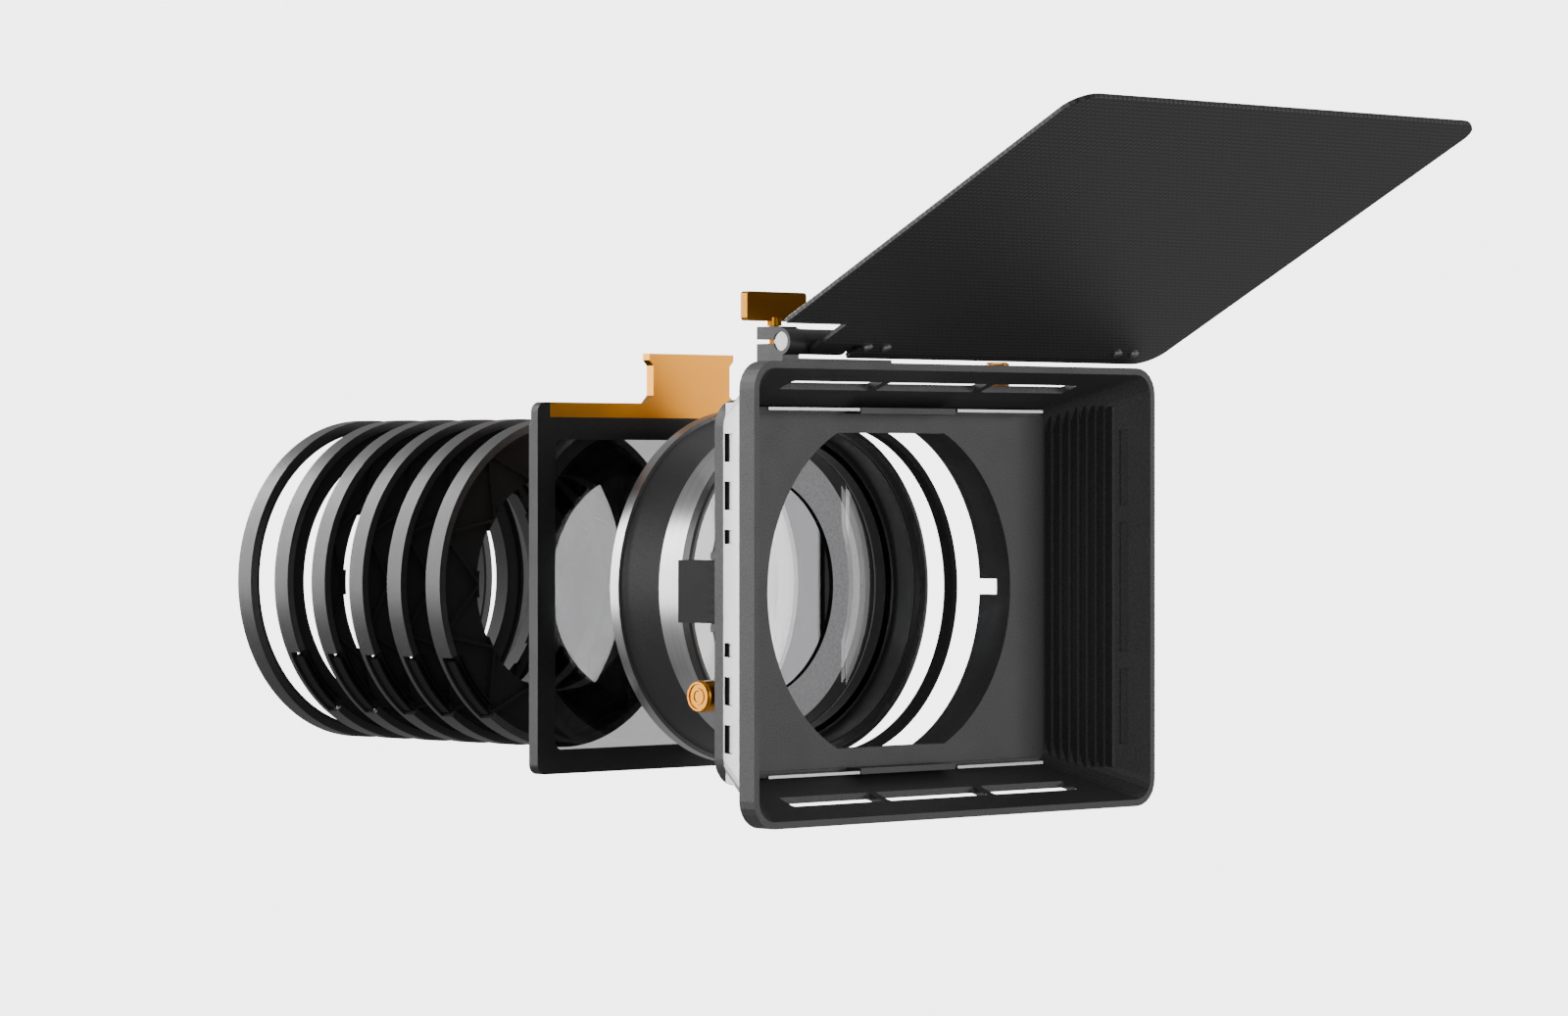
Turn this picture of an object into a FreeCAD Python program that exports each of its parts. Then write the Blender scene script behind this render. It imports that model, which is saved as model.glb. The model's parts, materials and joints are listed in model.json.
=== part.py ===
import FreeCAD, Part
import math
import os
import re

import Sketcher

# A matte box for a camera lens, shown taken apart along its optical axis. Millimetres.
# X runs to the right seen from in front, Y runs back towards the lens, Z is up.
# The origin is on the optical axis, at the front face of the aperture plate.

# Sizes that are set by themselves
SIZES = {
    # Hood and its walls
    "hood_width": 168,
    "hood_height": 130.6,
    "hood_depth": 28.3,
    "hood_corner": 8,
    "corner_flats": 6,
    "hood_wall": 2,
    "hood_side_taper": 15.5,
    "hood_top_taper": 10.4,
    "rim_depth": 6,
    "slot_back": 12.1,
    "slot_width": 6.1,
    "slot_bridge": 3,
    "slot_middle_length": 41,
    "slot_side_length": 36.1,
    "groove_back": 6.1,
    "groove_width": 2.4,
    "groove_depth": 1,
    "groove_middle": 38.8,
    "groove_bridge": 5,
    "groove_outer": 22.6,
    "step_count": 8,
    "step_depth": 2.35,
    "pocket_depth": 1.2,
    "pocket_start": 1.2,
    "pocket_length": 7.6,
    "pocket_first": 14,
    "pocket_short": 4,
    "pocket_long": 8,
    "pocket_gap": 5.6,
    # Aperture plate, collar and what they carry
    "plate_thickness": 3.5,
    "aperture_radius": 50.9,
    "aperture_margin": 9.2,
    "strip_inner": 19.8,
    "strip_height": 1.7,
    "strip_proud": 1.2,
    "bridge_depth": 6.9,
    "collar_wall": 2.4,
    "collar_end": 13,
    "collar_notch_height": 4.7,
    "collar_notch_start": 6,
    "seat_clearance": 0.4,
    "joint_gap": 0.3,
    "run_clearance": 0.05,
    "edge_round": 1,
    # Adapter rings
    "adapter_radius": 51,
    "adapter_depth": 7.2,
    "adapter_wall": 2.4,
    "adapter_bevel": 0.8,
    "adapter_gap": 53.8,
    "adapter_pitch": 18.06,
    "adapter_notch_depth": 4.8,
    "adapter_notch_from": 26,
    "adapter_notch_to": 54,
    "web_thickness": 2.6,
    "web_start": 1.6,
    "web_least": 1.5,
    "truss_least": 5,
    "truss_margin": 0.6,
    "truss_rib": 1.6,
    "truss_depth": 1.2,
    "truss_count": 10,
    "thread_67": 67,
    "thread_72": 72,
    "thread_77": 77,
    "thread_82": 82,
    "thread_86": 86,
    "thread_95": 95,
    # Latch on the left of the collar
    "latch_height": 18,
    "latch_front": 6,
    "latch_back": 27.4,
    "latch_reach": 6.2,
    "latch_thickness": 4,
    "latch_hook": 2.6,
    "latch_hook_length": 2.4,
    "latch_rib_zone": 10,
    "latch_rib_count": 6,
    "latch_rib_proud": 0.7,
    "latch_pivot_y": 10.6,
    "latch_pivot_radius": 1.2,
    "ear_thickness": 2.2,
    "ear_length": 10.5,
    "ear_overlap": 2,
    # Locking pull knob at the lower left
    "knob_radius": 4.6,
    "knob_reach": 7.2,
    "knob_length": 10.5,
    "knob_bevel": 0.8,
    "knob_groove": 0.9,
    "knob_y": 18,
    "knob_z": -30,
    "knob_pin_radius": 1.5,
    "knob_pin_reach": 2,
    "boss_height": 10,
    "boss_length": 19.1,
    "boss_overlap": 8,
    # Top lug and thumb screw
    "screw_inset": 14.5,
    "screw_y": 8.2,
    "screw_radius": 3.6,
    "screw_length": 12,
    "screw_bevel": 0.6,
    "screw_shank_radius": 1.5,
    "screw_shank_length": 9,
    "lug_width": 10,
    "lug_depth": 9,
    "lug_height": 12,
    # Flag and hinge
    "flag_overhang": 0.9,
    "flag_length": 142.4,
    "flag_thickness": 1.5,
    "flag_corner": 8,
    "flag_tilt": 27.6,
    "flag_set_off": 4.9,
    "flag_start": 0.94,
    "hinge_back": 6.8,
    "hinge_rise": 5.7,
    "rod_radius": 2.75,
    "rod_overhang": 0.3,
    "clamp_inset": 17,
    "clamp_width": 6.5,
    "clamp_nose": 3.8,
    "clamp_reach": 9.5,
    "clamp_rise": 4.2,
    "clamp_slit": 1.2,
    "clamp_slit_wall": 1,
    "rail_inset": 18,
    "rail_length": 43,
    "rail_depth": 2.7,
    "rail_rise": 1,
    "knuckle_length": 15.2,
    "knuckle_radius": 3.6,
    "leaf_length": 12,
    "leaf_width": 29,
    "leaf_inset": 1.2,
    "leaf_thickness": 1.2,
    "leaf_corner": 2,
    "plate_inset": 24,
    "plate_width": 16,
    "clip_radius": 3.6,
    "clip_width": 1.2,
    "lever_inset": 3.5,
    "lever_length": 23.5,
    "lever_thickness": 2.6,
    "lever_gap": 1.6,
    "lever_height": 8.2,
    "lever_neck_radius": 2.25,
    "lever_shank_radius": 1.5,
    "lever_shank_length": 9.2,
    # Spacer ring and filter unit
    "spacer_gap": 8,
    "spacer_depth": 3.7,
    "spacer_radius": 50.2,
    "spacer_wall": 2,
    "filter_gap": 8.3,
    "rim_radius": 50.6,
    "rim_length": 3.4,
    "rim_bore": 49,
    "rim_bevel": 0.6,
    "grip_length": 10,
    "grip_radius": 49.6,
    "grip_wall": 2.2,
    "glass_lip": 2,
    "spigot_wall": 2,
    "spigot_length": 4,
    "glass_thickness": 1.6,
    "glass_rim": 1,
    "spigot_radius": 46.6,
    "body_length": 13.4,
    "body_stop": 1,
    "body_front_radius": 49,
    "body_back_radius": 51.7,
    "flange_radius": 53,
    "flange_thickness": 4.3,
    "flange_bevel": 0.8,
    # Filter tray
    "tray_gap": 19.8,
    "tray_thickness": 3,
    "tray_cover": 0.8,
    "tray_width": 126,
    "tray_height": 110,
    "tray_corner": 3,
    "tray_margin": 7,
    "tray_top_margin": 11,
    "tray_glass_lap": 3,
    "tray_glass_thickness": 2,
    "bar_height": 4.4,
    "bar_end": 5,
    "tab_width": 32,
    "tab_height": 15,
    "tab_ear": 1.6,
    "tab_ear_height": 2,
    "tab_root": 2.4,
}

# Sizes that follow from the others
LINKS = {
    "hood_rear_width": "hood_width - 2 * hood_side_taper",
    "hood_rear_height": "hood_height - 2 * hood_top_taper",
    "hood_slope_side": "hood_side_taper / hood_depth",
    "hood_slope_top": "hood_top_taper / hood_depth",
    "slot_y": "-(hood_depth - slot_back)",
    "groove_start": "hood_depth - groove_back - groove_width",
    "aperture_flat": "hood_rear_height / 2 - aperture_margin",
    "collar_bore": "adapter_radius + seat_clearance",
    "collar_outer": "collar_bore + collar_wall",
    "latch_outer": "collar_outer + latch_reach",
    "latch_pivot_x": "-(latch_outer - latch_thickness / 2)",
    "ear_end": "plate_thickness + ear_length",
    "knob_face": "collar_outer + knob_reach",
    "knob_inner": "knob_face - knob_length",
    "boss_face": "knob_inner - joint_gap",
    "boss_end": "plate_thickness + boss_length",
    "bore_at_knob": "sqrt(collar_bore ^ 2 - knob_z ^ 2)",
    "screw_x": "hood_rear_width / 2 - screw_inset",
    "flag_width": "hood_width + 2 * flag_overhang",
    "hinge_y": "-(hood_depth - hinge_back)",
    "hinge_z": "hood_height / 2 + hinge_rise",
    "clamp_left": "-(hood_width / 2 - clamp_inset)",
    "clamp_right": "clamp_left + clamp_width",
    "clamp_back": "hinge_y + clamp_reach",
    "clamp_top": "hinge_z + clamp_rise",
    "rail_left": "-(hood_width / 2 - rail_inset)",
    "rail_right": "rail_left + rail_length",
    "rail_back": "-(hood_depth - rim_depth - rail_depth)",
    "rail_top": "hood_height / 2 + rail_rise",
    "knuckle_left": "clamp_right + joint_gap",
    "knuckle_right": "knuckle_left + knuckle_length",
    "clip_left": "knuckle_right + joint_gap",
    "rod_left": "clamp_left + rod_overhang",
    "rod_right": "clip_left + clip_width",
    "leaf_left": "knuckle_left + leaf_inset",
    "leaf_right": "leaf_left + leaf_width",
    "plate_left": "hood_width / 2 - plate_inset",
    "plate_right": "plate_left + plate_width",
    "lever_x": "(clamp_left + clamp_right) / 2",
    "lever_y": "clamp_back - lever_inset",
    "lever_bottom": "clamp_top + lever_gap",
    "lever_top": "lever_bottom + lever_height",
    "lever_shank_end": "clamp_top - lever_shank_length",
    "slope_at_rim": "hood_height / 2 - rim_depth * hood_slope_top",
    "spacer_front": "collar_end + spacer_gap",
    "filter_front": "spacer_front + spacer_depth + filter_gap",
    "grip_front": "filter_front + rim_length",
    "grip_back": "grip_front + grip_length",
    "grip_bore": "grip_radius - grip_wall",
    "spigot_bore": "spigot_radius - spigot_wall",
    "spigot_back": "grip_back + spigot_length",
    "front_glass_y": "grip_back - glass_thickness",
    "body_bore": "spigot_radius + run_clearance",
    "body_step": "body_bore - glass_lip",
    "body_front": "grip_back + joint_gap",
    "body_back": "body_front + body_length",
    "flange_back": "body_back + flange_thickness",
    "rear_glass_y": "flange_back - glass_rim - glass_thickness",
    "tray_front": "flange_back + tray_gap",
    "tray_back": "tray_front + tray_thickness",
    "adapter_first": "tray_back + tray_cover + adapter_gap",
}

doc = FreeCAD.newDocument("matte_box")
sheet = doc.addObject("Spreadsheet::Sheet", "Sizes")
nodes = []
for row, (name, value) in enumerate({**SIZES, **LINKS}.items(), start=1):
    sheet.set("A%d" % row, name)
    sheet.set("B%d" % row, str(value) if name in SIZES else "=" + value)
    sheet.setAlias("B%d" % row, name)
doc.recompute()


def number(formula):
    """The value of a sum of products of sizes, such as "hood_width/2-hood_wall"."""
    total = 0.0
    for term in re.findall(r"[+-]?[^+-]+", formula.replace(" ", "")):
        value = -1.0 if term[0] == "-" else 1.0
        for sign, factor in re.findall(r"([*/]?)([\w.]+)", term.lstrip("+-")):
            amount = float(factor) if factor[0].isdigit() else float(getattr(sheet, factor))
            value = value / amount if sign == "/" else value * amount
        total += value
    return total


def linked(formula):
    """The same formula, with each size's name pointing at the sheet."""
    return re.sub(r"(?<![\w.])([a-z]\w*)(?!\w*\()", r"Sizes.\1", formula)


def opposite(formula):
    """The same formula with every sign changed."""
    swap = {"+": "-", "-": "+"}
    flipped = "".join(swap.get(letter, letter) for letter in formula)
    return flipped[1:] if flipped[0] == "+" else flipped if formula[0] in "+-" else "-" + flipped


def bind(item, field, formula):
    item.setExpression(field, linked(formula))


def node(item, name):
    """Names a finished sub-part and keeps it for the files."""
    item.Label = name
    nodes.append(item)
    return item


def new_body(name):
    return doc.addObject("PartDesign::Body", name + "_body")


def plane(body, role):
    for feature in body.Origin.OriginFeatures:
        if feature.Role == role:
            return feature
    raise ValueError(role)


def new_sketch(body, role, offset="0"):
    """A sketch on one of the body's own planes, moved along the plane's normal."""
    sketch = body.newObject("Sketcher::SketchObject", "outline")
    sketch.AttachmentSupport = [(plane(body, role), "")]
    sketch.MapMode = "FlatFace"
    bind(sketch, "AttachmentOffset.Base.z", offset)
    return sketch


def fix(sketch, kind, item, end, formula):
    """Holds one point's distance from the origin to a size."""
    place = sketch.addConstraint(Sketcher.Constraint(kind, -1, 1, item, end, number(formula)))
    bind(sketch, "Constraints[%d]" % place, formula)


def outline(sketch, points):
    """A closed outline of straight edges, each corner given by two formulas."""
    corners = [FreeCAD.Vector(number(a), number(b), 0) for a, b in points]
    first = sketch.GeometryCount
    count = len(corners)
    for i in range(count):
        sketch.addGeometry(Part.LineSegment(corners[i], corners[(i + 1) % count]), False)
    for i in range(count):
        following = first + (i + 1) % count
        sketch.addConstraint(Sketcher.Constraint("Coincident", first + i, 2, following, 1))
    for i, (a, b) in enumerate(points):
        fix(sketch, "DistanceX", first + i, 1, a)
        fix(sketch, "DistanceY", first + i, 1, b)


def rounded(sketch, left, right, low, high, corner):
    """A rectangle with round corners, each side and the radius given by a formula."""
    x0, x1, y0, y1, r = [number(f) for f in (left, right, low, high, corner)]
    vector = FreeCAD.Vector
    first = sketch.GeometryCount
    lines = [((x0 + r, y0), (x1 - r, y0)), ((x1, y0 + r), (x1, y1 - r)),
             ((x1 - r, y1), (x0 + r, y1)), ((x0, y1 - r), (x0, y0 + r))]
    for start, end in lines:
        sketch.addGeometry(Part.LineSegment(vector(*start, 0), vector(*end, 0)), False)
    centres = [(x1 - r, y0 + r), (x1 - r, y1 - r), (x0 + r, y1 - r), (x0 + r, y0 + r)]
    for i, centre in enumerate(centres):
        circle = Part.Circle(vector(*centre, 0), vector(0, 0, 1), r)
        turn = math.pi / 2
        sketch.addGeometry(Part.ArcOfCircle(circle, (i - 1) * turn, i * turn), False)
    for i in range(4):
        arc = first + 4 + i
        sketch.addConstraint(Sketcher.Constraint("Tangent", first + i, 2, arc, 1))
        sketch.addConstraint(Sketcher.Constraint("Tangent", arc, 2, first + (i + 1) % 4, 1))
    for i in range(4):
        level = "Horizontal" if i % 2 == 0 else "Vertical"
        sketch.addConstraint(Sketcher.Constraint(level, first + i))
    for i in range(3):
        sketch.addConstraint(Sketcher.Constraint("Equal", first + 4 + i, first + 5 + i))
    place = sketch.addConstraint(Sketcher.Constraint("Radius", first + 4, r))
    bind(sketch, "Constraints[%d]" % place, corner)
    fix(sketch, "DistanceY", first, 1, low)
    fix(sketch, "DistanceX", first + 1, 1, right)
    fix(sketch, "DistanceY", first + 2, 1, high)
    fix(sketch, "DistanceX", first + 3, 1, left)


def faceted(sketch, half_width, half_height, corner):
    """A rectangle about the origin, each corner an arc of flats on a radius, so that a taper stays plane."""
    flats = int(sheet.corner_flats)
    points = []
    for quarter, (x_sign, y_sign) in enumerate(((1, 1), (-1, 1), (-1, -1), (1, -1))):
        for i in range(flats + 1):
            angle = math.pi / 2 * (quarter + i / flats)
            across, up = abs(math.cos(angle)), abs(math.sin(angle))
            x = "%s-%.6f*(%s)" % (half_width, 1 - across, corner)
            y = "%s-%.6f*(%s)" % (half_height, 1 - up, corner)
            points.append((x_sign, x, y_sign, y))
    corners = []
    for x_sign, x, y_sign, y in points:
        corners.append((spread(x) if x_sign > 0 else opposite(spread(x)),
                        spread(y) if y_sign > 0 else opposite(spread(y))))
    outline(sketch, corners)


def spread(formula):
    """Multiplies out one bracket of the form a-k*(b-c)."""
    lead, factor, inner = re.match(r"(.*)-([\d.]+)\*\((.*)\)$", formula).groups()
    terms = re.findall(r"[+-]?[^+-]+", inner)
    parts = ["%s%s*%s" % ("+" if term[0] == "-" else "-", factor, term.lstrip("+-")) for term in terms]
    return lead + "".join(parts)


def round_hole(sketch, x, y, radius):
    """A circle whose centre and radius are formulas."""
    circle = Part.Circle(FreeCAD.Vector(number(x), number(y), 0), FreeCAD.Vector(0, 0, 1), number(radius))
    item = sketch.addGeometry(circle, False)
    fix(sketch, "DistanceX", item, 3, x)
    fix(sketch, "DistanceY", item, 3, y)
    place = sketch.addConstraint(Sketcher.Constraint("Radius", item, number(radius)))
    bind(sketch, "Constraints[%d]" % place, radius)


def flat_sided_hole(sketch, radius, flat):
    """A circle about the origin, cut flat above and below."""
    r, z = number(radius), number(flat)
    half = math.asin(z / r)
    x = r * math.cos(half)
    vector = FreeCAD.Vector
    circle = Part.Circle(vector(0, 0, 0), vector(0, 0, 1), r)
    sketch.addGeometry(Part.ArcOfCircle(circle, -half, half), False)
    sketch.addGeometry(Part.LineSegment(vector(x, z, 0), vector(-x, z, 0)), False)
    sketch.addGeometry(Part.ArcOfCircle(circle, math.pi - half, math.pi + half), False)
    sketch.addGeometry(Part.LineSegment(vector(-x, -z, 0), vector(x, -z, 0)), False)
    first = sketch.GeometryCount - 4
    for i in range(4):
        following = first + (i + 1) % 4
        sketch.addConstraint(Sketcher.Constraint("Coincident", first + i, 2, following, 1))
    for arc in (first, first + 2):
        sketch.addConstraint(Sketcher.Constraint("Coincident", arc, 3, -1, 1))
    sketch.addConstraint(Sketcher.Constraint("Equal", first, first + 2))
    place = sketch.addConstraint(Sketcher.Constraint("Radius", first, r))
    bind(sketch, "Constraints[%d]" % place, radius)
    for line in (first + 1, first + 3):
        sketch.addConstraint(Sketcher.Constraint("Horizontal", line))
    fix(sketch, "DistanceY", first + 1, 1, flat)
    fix(sketch, "DistanceY", first + 3, 1, "-" + flat)


def pad(body, sketch, length, middle=False, back=False):
    """Pads a sketch by a length, on both sides alike if middle is set."""
    feature = body.newObject("PartDesign::Pad", "pad")
    feature.Profile = sketch
    bind(feature, "Length", length)
    feature.Midplane = middle
    feature.Reversed = back
    doc.recompute()
    return feature


def pocket(body, sketch, length, middle=False, back=False):
    """Pockets a sketch, and stops if nothing was cut."""
    before = body.Shape.Volume
    feature = body.newObject("PartDesign::Pocket", "pocket")
    feature.Profile = sketch
    bind(feature, "Length", length)
    feature.Midplane = middle
    feature.Reversed = back
    doc.recompute()
    if body.Shape.Volume > before - 1e-6:
        raise RuntimeError("a pocket in " + body.Name + " cut nothing")
    return feature


def polar(body, feature, count, axis="Y_Axis"):
    """Repeats a feature round one of the body's own axes."""
    pattern = body.newObject("PartDesign::PolarPattern", "round_pattern")
    pattern.Originals = [feature]
    pattern.Axis = (plane(body, axis), [""])
    pattern.Angle = 360
    bind(pattern, "Occurrences", count)
    body.Tip = pattern
    doc.recompute()
    return pattern


def turned(name, points, axis="Y"):
    """A turned piece: its section is given as pairs of place along the axis and radius."""
    body = new_body(name)
    role, line = {"Y": ("YZ_Plane", "H_Axis"), "X": ("XZ_Plane", "H_Axis"), "Z": ("YZ_Plane", "V_Axis")}[axis]
    sketch = new_sketch(body, role)
    outline(sketch, points if axis != "Z" else [(r, along) for along, r in points])
    spin = body.newObject("PartDesign::Revolution", "spin")
    spin.Profile = sketch
    spin.ReferenceAxis = (sketch, [line])
    spin.Angle = 360
    doc.recompute()
    return body


def moved(item, x="0", y="0", z="0"):
    """Places a piece at a point given by three formulas."""
    for field, formula in zip("xyz", (x, y, z)):
        bind(item, "Placement.Base." + field, formula)
    return item


def box(name, x0, x1, y0, y1, z0, z1):
    """A block between two values on each axis."""
    item = doc.addObject("Part::Box", name)
    for field, low, high in (("Length", x0, x1), ("Width", y0, y1), ("Height", z0, z1)):
        bind(item, field, "(%s) - (%s)" % (high, low))
    return moved(item, x0, y0, z0)


def cylinder(name, radius, length, x, y, z, axis="Z"):
    """A round bar that starts at a point and runs along +X, +Y or +Z."""
    item = doc.addObject("Part::Cylinder", name)
    bind(item, "Radius", radius)
    bind(item, "Height", length)
    turn = {"Z": (FreeCAD.Vector(0, 0, 1), 0), "Y": (FreeCAD.Vector(1, 0, 0), -90),
            "X": (FreeCAD.Vector(0, 1, 0), 90)}[axis]
    item.Placement = FreeCAD.Placement(FreeCAD.Vector(), FreeCAD.Rotation(*turn))
    return moved(item, x, y, z)


def fuse(name, items):
    item = doc.addObject("Part::MultiFuse", name)
    item.Shapes = items
    item.Refine = True
    return item


def cut(name, base, tools):
    """The base less every tool."""
    item = doc.addObject("Part::Cut", name)
    item.Base = base
    item.Tool = tools[0] if len(tools) == 1 else fuse(name + "_tools", tools)
    item.Refine = True
    return item


def loft(body, kind, sections):
    """A loft through two sections, added or taken away."""
    feature = body.newObject("PartDesign::" + kind, kind)
    feature.Profile = sections[0]
    feature.Sections = sections[1:]
    feature.Ruled = True
    doc.recompute()
    return feature


def slanted_cut(body, skin, start, length, depth, low, high):
    """Cuts a recess in both slanted side walls, as deep to each side of the skin, between two heights."""
    near, far = start + "*hood_slope_side", start + "*hood_slope_side+" + length + "*hood_slope_side"
    section = [(skin + "+" + near + "-" + depth, "-" + start), (skin + "+" + far + "-" + depth, "-" + start + "-" + length),
               (skin + "+" + far + "+" + depth, "-" + start + "-" + length),
               (skin + "+" + near + "+" + depth, "-" + start)]
    window = new_sketch(body, "XY_Plane", low)
    outline(window, section)
    outline(window, [(opposite(x), y) for x, y in section])
    pocket(body, window, "(%s) - (%s)" % (high, low), back=True)


def hood_shell():
    """The tapered hood: straight rim, slanted walls, slots and stepped side walls."""
    body = new_body("hood_shell")
    front = new_sketch(body, "XZ_Plane", "hood_depth")
    faceted(front, "hood_width/2", "hood_height/2", "hood_corner")
    rear = new_sketch(body, "XZ_Plane")
    faceted(rear, "hood_rear_width/2", "hood_rear_height/2", "hood_corner")
    loft(body, "AdditiveLoft", [front, rear])
    rim = new_sketch(body, "XZ_Plane", "hood_depth")
    faceted(rim, "hood_width/2", "hood_height/2", "hood_corner")
    pad(body, rim, "rim_depth", back=True)
    mouth = new_sketch(body, "XZ_Plane", "hood_depth")
    faceted(mouth, "hood_width/2-hood_wall", "hood_height/2-hood_wall", "hood_corner-hood_wall")
    throat = new_sketch(body, "XZ_Plane")
    faceted(throat, "hood_rear_width/2-hood_wall", "hood_rear_height/2-hood_wall", "hood_corner-hood_wall")
    loft(body, "SubtractiveLoft", [mouth, throat])

    # Stepped light traps on both side walls
    run = int(sheet.step_count)
    wall = "hood_rear_width/2-hood_wall"
    points = [("hood_rear_width/2-hood_wall/2", "0")]
    for i in range(run):
        edge = wall + "+%d*step_depth*hood_slope_side" % i
        points.append((edge, "-%d*step_depth" % i))
        points.append((edge, "-%d*step_depth" % (i + 1)))
    points.append((wall + "+hood_wall/2+%d*step_depth*hood_slope_side" % run, "-%d*step_depth" % run))
    for corners in (points, [(opposite(x), y) for x, y in points]):
        steps = new_sketch(body, "XY_Plane")
        outline(steps, corners)
        pad(body, steps, "hood_rear_height-hood_wall", middle=True)

    # Long slots through the roof and the floor
    slots = new_sketch(body, "XY_Plane")
    low, high = "slot_y-slot_width/2", "slot_y+slot_width/2"
    rounded(slots, "-slot_middle_length/2", "slot_middle_length/2", low, high, "hood_wall/2")
    inner, outer = "slot_middle_length/2+slot_bridge", "slot_middle_length/2+slot_bridge+slot_side_length"
    rounded(slots, inner, outer, low, high, "hood_wall/2")
    rounded(slots, opposite(outer), opposite(inner), low, high, "hood_wall/2")
    pocket(body, slots, "2*hood_height", middle=True)

    # Slim grooves down the inside of both side walls
    skin = "hood_rear_width/2-hood_wall"
    ends = ("groove_middle/2+groove_bridge", "groove_middle/2+groove_bridge+groove_outer")
    for low, high in (("-groove_middle/2", "groove_middle/2"), ends, (opposite(ends[1]), opposite(ends[0]))):
        slanted_cut(body, skin, "groove_start", "groove_width", "groove_depth", low, high)

    # Shallow windows on the outside of both side walls, three above and three below the axis
    low = "pocket_first"
    for height in ("pocket_short", "pocket_long", "pocket_long"):
        high = low + "+" + height
        for start, stop in ((low, high), (opposite(high), opposite(low))):
            slanted_cut(body, "hood_rear_width/2", "pocket_start", "pocket_length", "pocket_depth", start, stop)
        low = high + "+pocket_gap"
    return node(body, "hood_shell")


def aperture_plate():
    """The plate behind the hood, with a round opening cut flat above and below."""
    body = new_body("aperture_plate")
    face = new_sketch(body, "XZ_Plane")
    rounded(face, "-hood_rear_width/2", "hood_rear_width/2", "-hood_rear_height/2", "hood_rear_height/2",
            "hood_corner")
    flat_sided_hole(face, "aperture_radius", "aperture_flat")
    pad(body, face, "plate_thickness", back=True)
    lug = new_sketch(body, "XZ_Plane", "-plate_thickness")
    rounded(lug, "screw_x-lug_width/2", "screw_x+lug_width/2", "hood_rear_height/2-lug_height",
            "hood_rear_height/2", "edge_round")
    pad(body, lug, "lug_depth", back=True)
    hole = new_sketch(body, "XY_Plane", "hood_rear_height/2")
    round_hole(hole, "screw_x", "screw_y", "screw_shank_radius+run_clearance")
    pocket(body, hole, "screw_shank_length+joint_gap")
    return node(body, "aperture_plate")


def baffle_strips():
    """Four slim strips and two bridges where the plate meets the roof and the floor."""
    strips = []
    wall = "hood_rear_height/2-hood_wall"
    for name, z0, z1 in (("top", wall + "-strip_height", wall),
                         ("low", "-hood_rear_height/2+hood_wall",
                          "-hood_rear_height/2+hood_wall+strip_height")):
        side = "hood_rear_width/2-hood_wall-hood_corner"
        strips.append(box("strip_left_" + name, "-hood_rear_width/2+hood_wall+hood_corner/2",
                          "-strip_inner", "-strip_proud", "0", z0, z1))
        strips.append(box("strip_right_" + name, "strip_inner", side + "+hood_corner/2",
                          "-strip_proud", "0", z0, z1))
        strips.append(box("bridge_" + name, "-strip_inner", "strip_inner", "-bridge_depth", "0", z0, z1))
    return node(fuse("baffle_strips", strips), "baffle_strips")


def lens_collar():
    """The collar that takes an adapter ring, with the latch ears and the knob's boss."""
    ring = turned("collar_ring", [("plate_thickness", "collar_bore"), ("collar_end", "collar_bore"),
                                  ("collar_end", "collar_outer"), ("plate_thickness", "collar_outer")])
    ear_x0, ear_x1 = "-latch_outer", "-collar_bore+ear_overlap"
    half, outer = "latch_height/2+joint_gap", "latch_height/2+joint_gap+ear_thickness"
    ears = [box("ear_top", ear_x0, ear_x1, "plate_thickness", "ear_end", half, outer),
            box("ear_low", ear_x0, ear_x1, "plate_thickness", "ear_end", "-(%s)" % outer, "-(%s)" % half)]
    boss = box("knob_boss", "-boss_face", "-boss_face+boss_overlap", "plate_thickness", "boss_end",
               "knob_z-boss_height/2", "knob_z+boss_height/2")
    holes = [cylinder("collar_clear", "collar_bore", "boss_end", "0", "plate_thickness", "0", "Y"),
             box("collar_notch", "collar_bore-collar_wall", "collar_outer+collar_wall", "collar_notch_start",
                 "collar_end+collar_wall", "-collar_notch_height/2", "collar_notch_height/2"),
             cylinder("pivot_hole", "latch_pivot_radius", "2*latch_height", "latch_pivot_x",
                      "latch_pivot_y", "-latch_height"),
             cylinder("knob_hole", "knob_pin_radius+run_clearance", "knob_length+boss_overlap",
                      "-boss_face-joint_gap", "knob_y", "knob_z", "X")]
    return node(cut("lens_collar", fuse("collar_solid", [ring] + ears + [boss]), holes), "lens_collar")


def latch():
    """The rocking latch at the left, ribbed in front and hooked at the back."""
    outer = "-latch_outer"
    arm = box("latch_arm", outer, "-latch_outer+latch_thickness", "latch_front", "latch_back",
              "-latch_height/2", "latch_height/2")
    hook = box("latch_tooth", "-latch_outer+latch_thickness", "-latch_outer+latch_thickness+latch_hook",
               "latch_back-latch_hook_length", "latch_back", "-latch_height/2", "latch_height/2")
    ribs = []
    count = int(sheet.latch_rib_count)
    for i in range(count):
        low = "-latch_height/2+%d*latch_height/%d+latch_height/%d/4" % (i, count, count)
        ribs.append(box("latch_rib_%d" % (i + 1), "-latch_outer-latch_rib_proud", outer, "latch_front",
                        "latch_front+latch_rib_zone", low, low + "+latch_height/%d/2" % count))
    hole = cylinder("latch_hole", "latch_pivot_radius+run_clearance", "2*latch_height",
                    "latch_pivot_x", "latch_pivot_y", "-latch_height")
    node(cut("latch", fuse("latch_solid", [arm, hook] + ribs), [hole]), "latch")
    pin = cylinder("latch_pin", "latch_pivot_radius", "latch_height+2*joint_gap+2*ear_thickness",
                   "latch_pivot_x", "latch_pivot_y", "-latch_height/2-joint_gap-ear_thickness")
    node(pin, "latch_pin")


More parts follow.
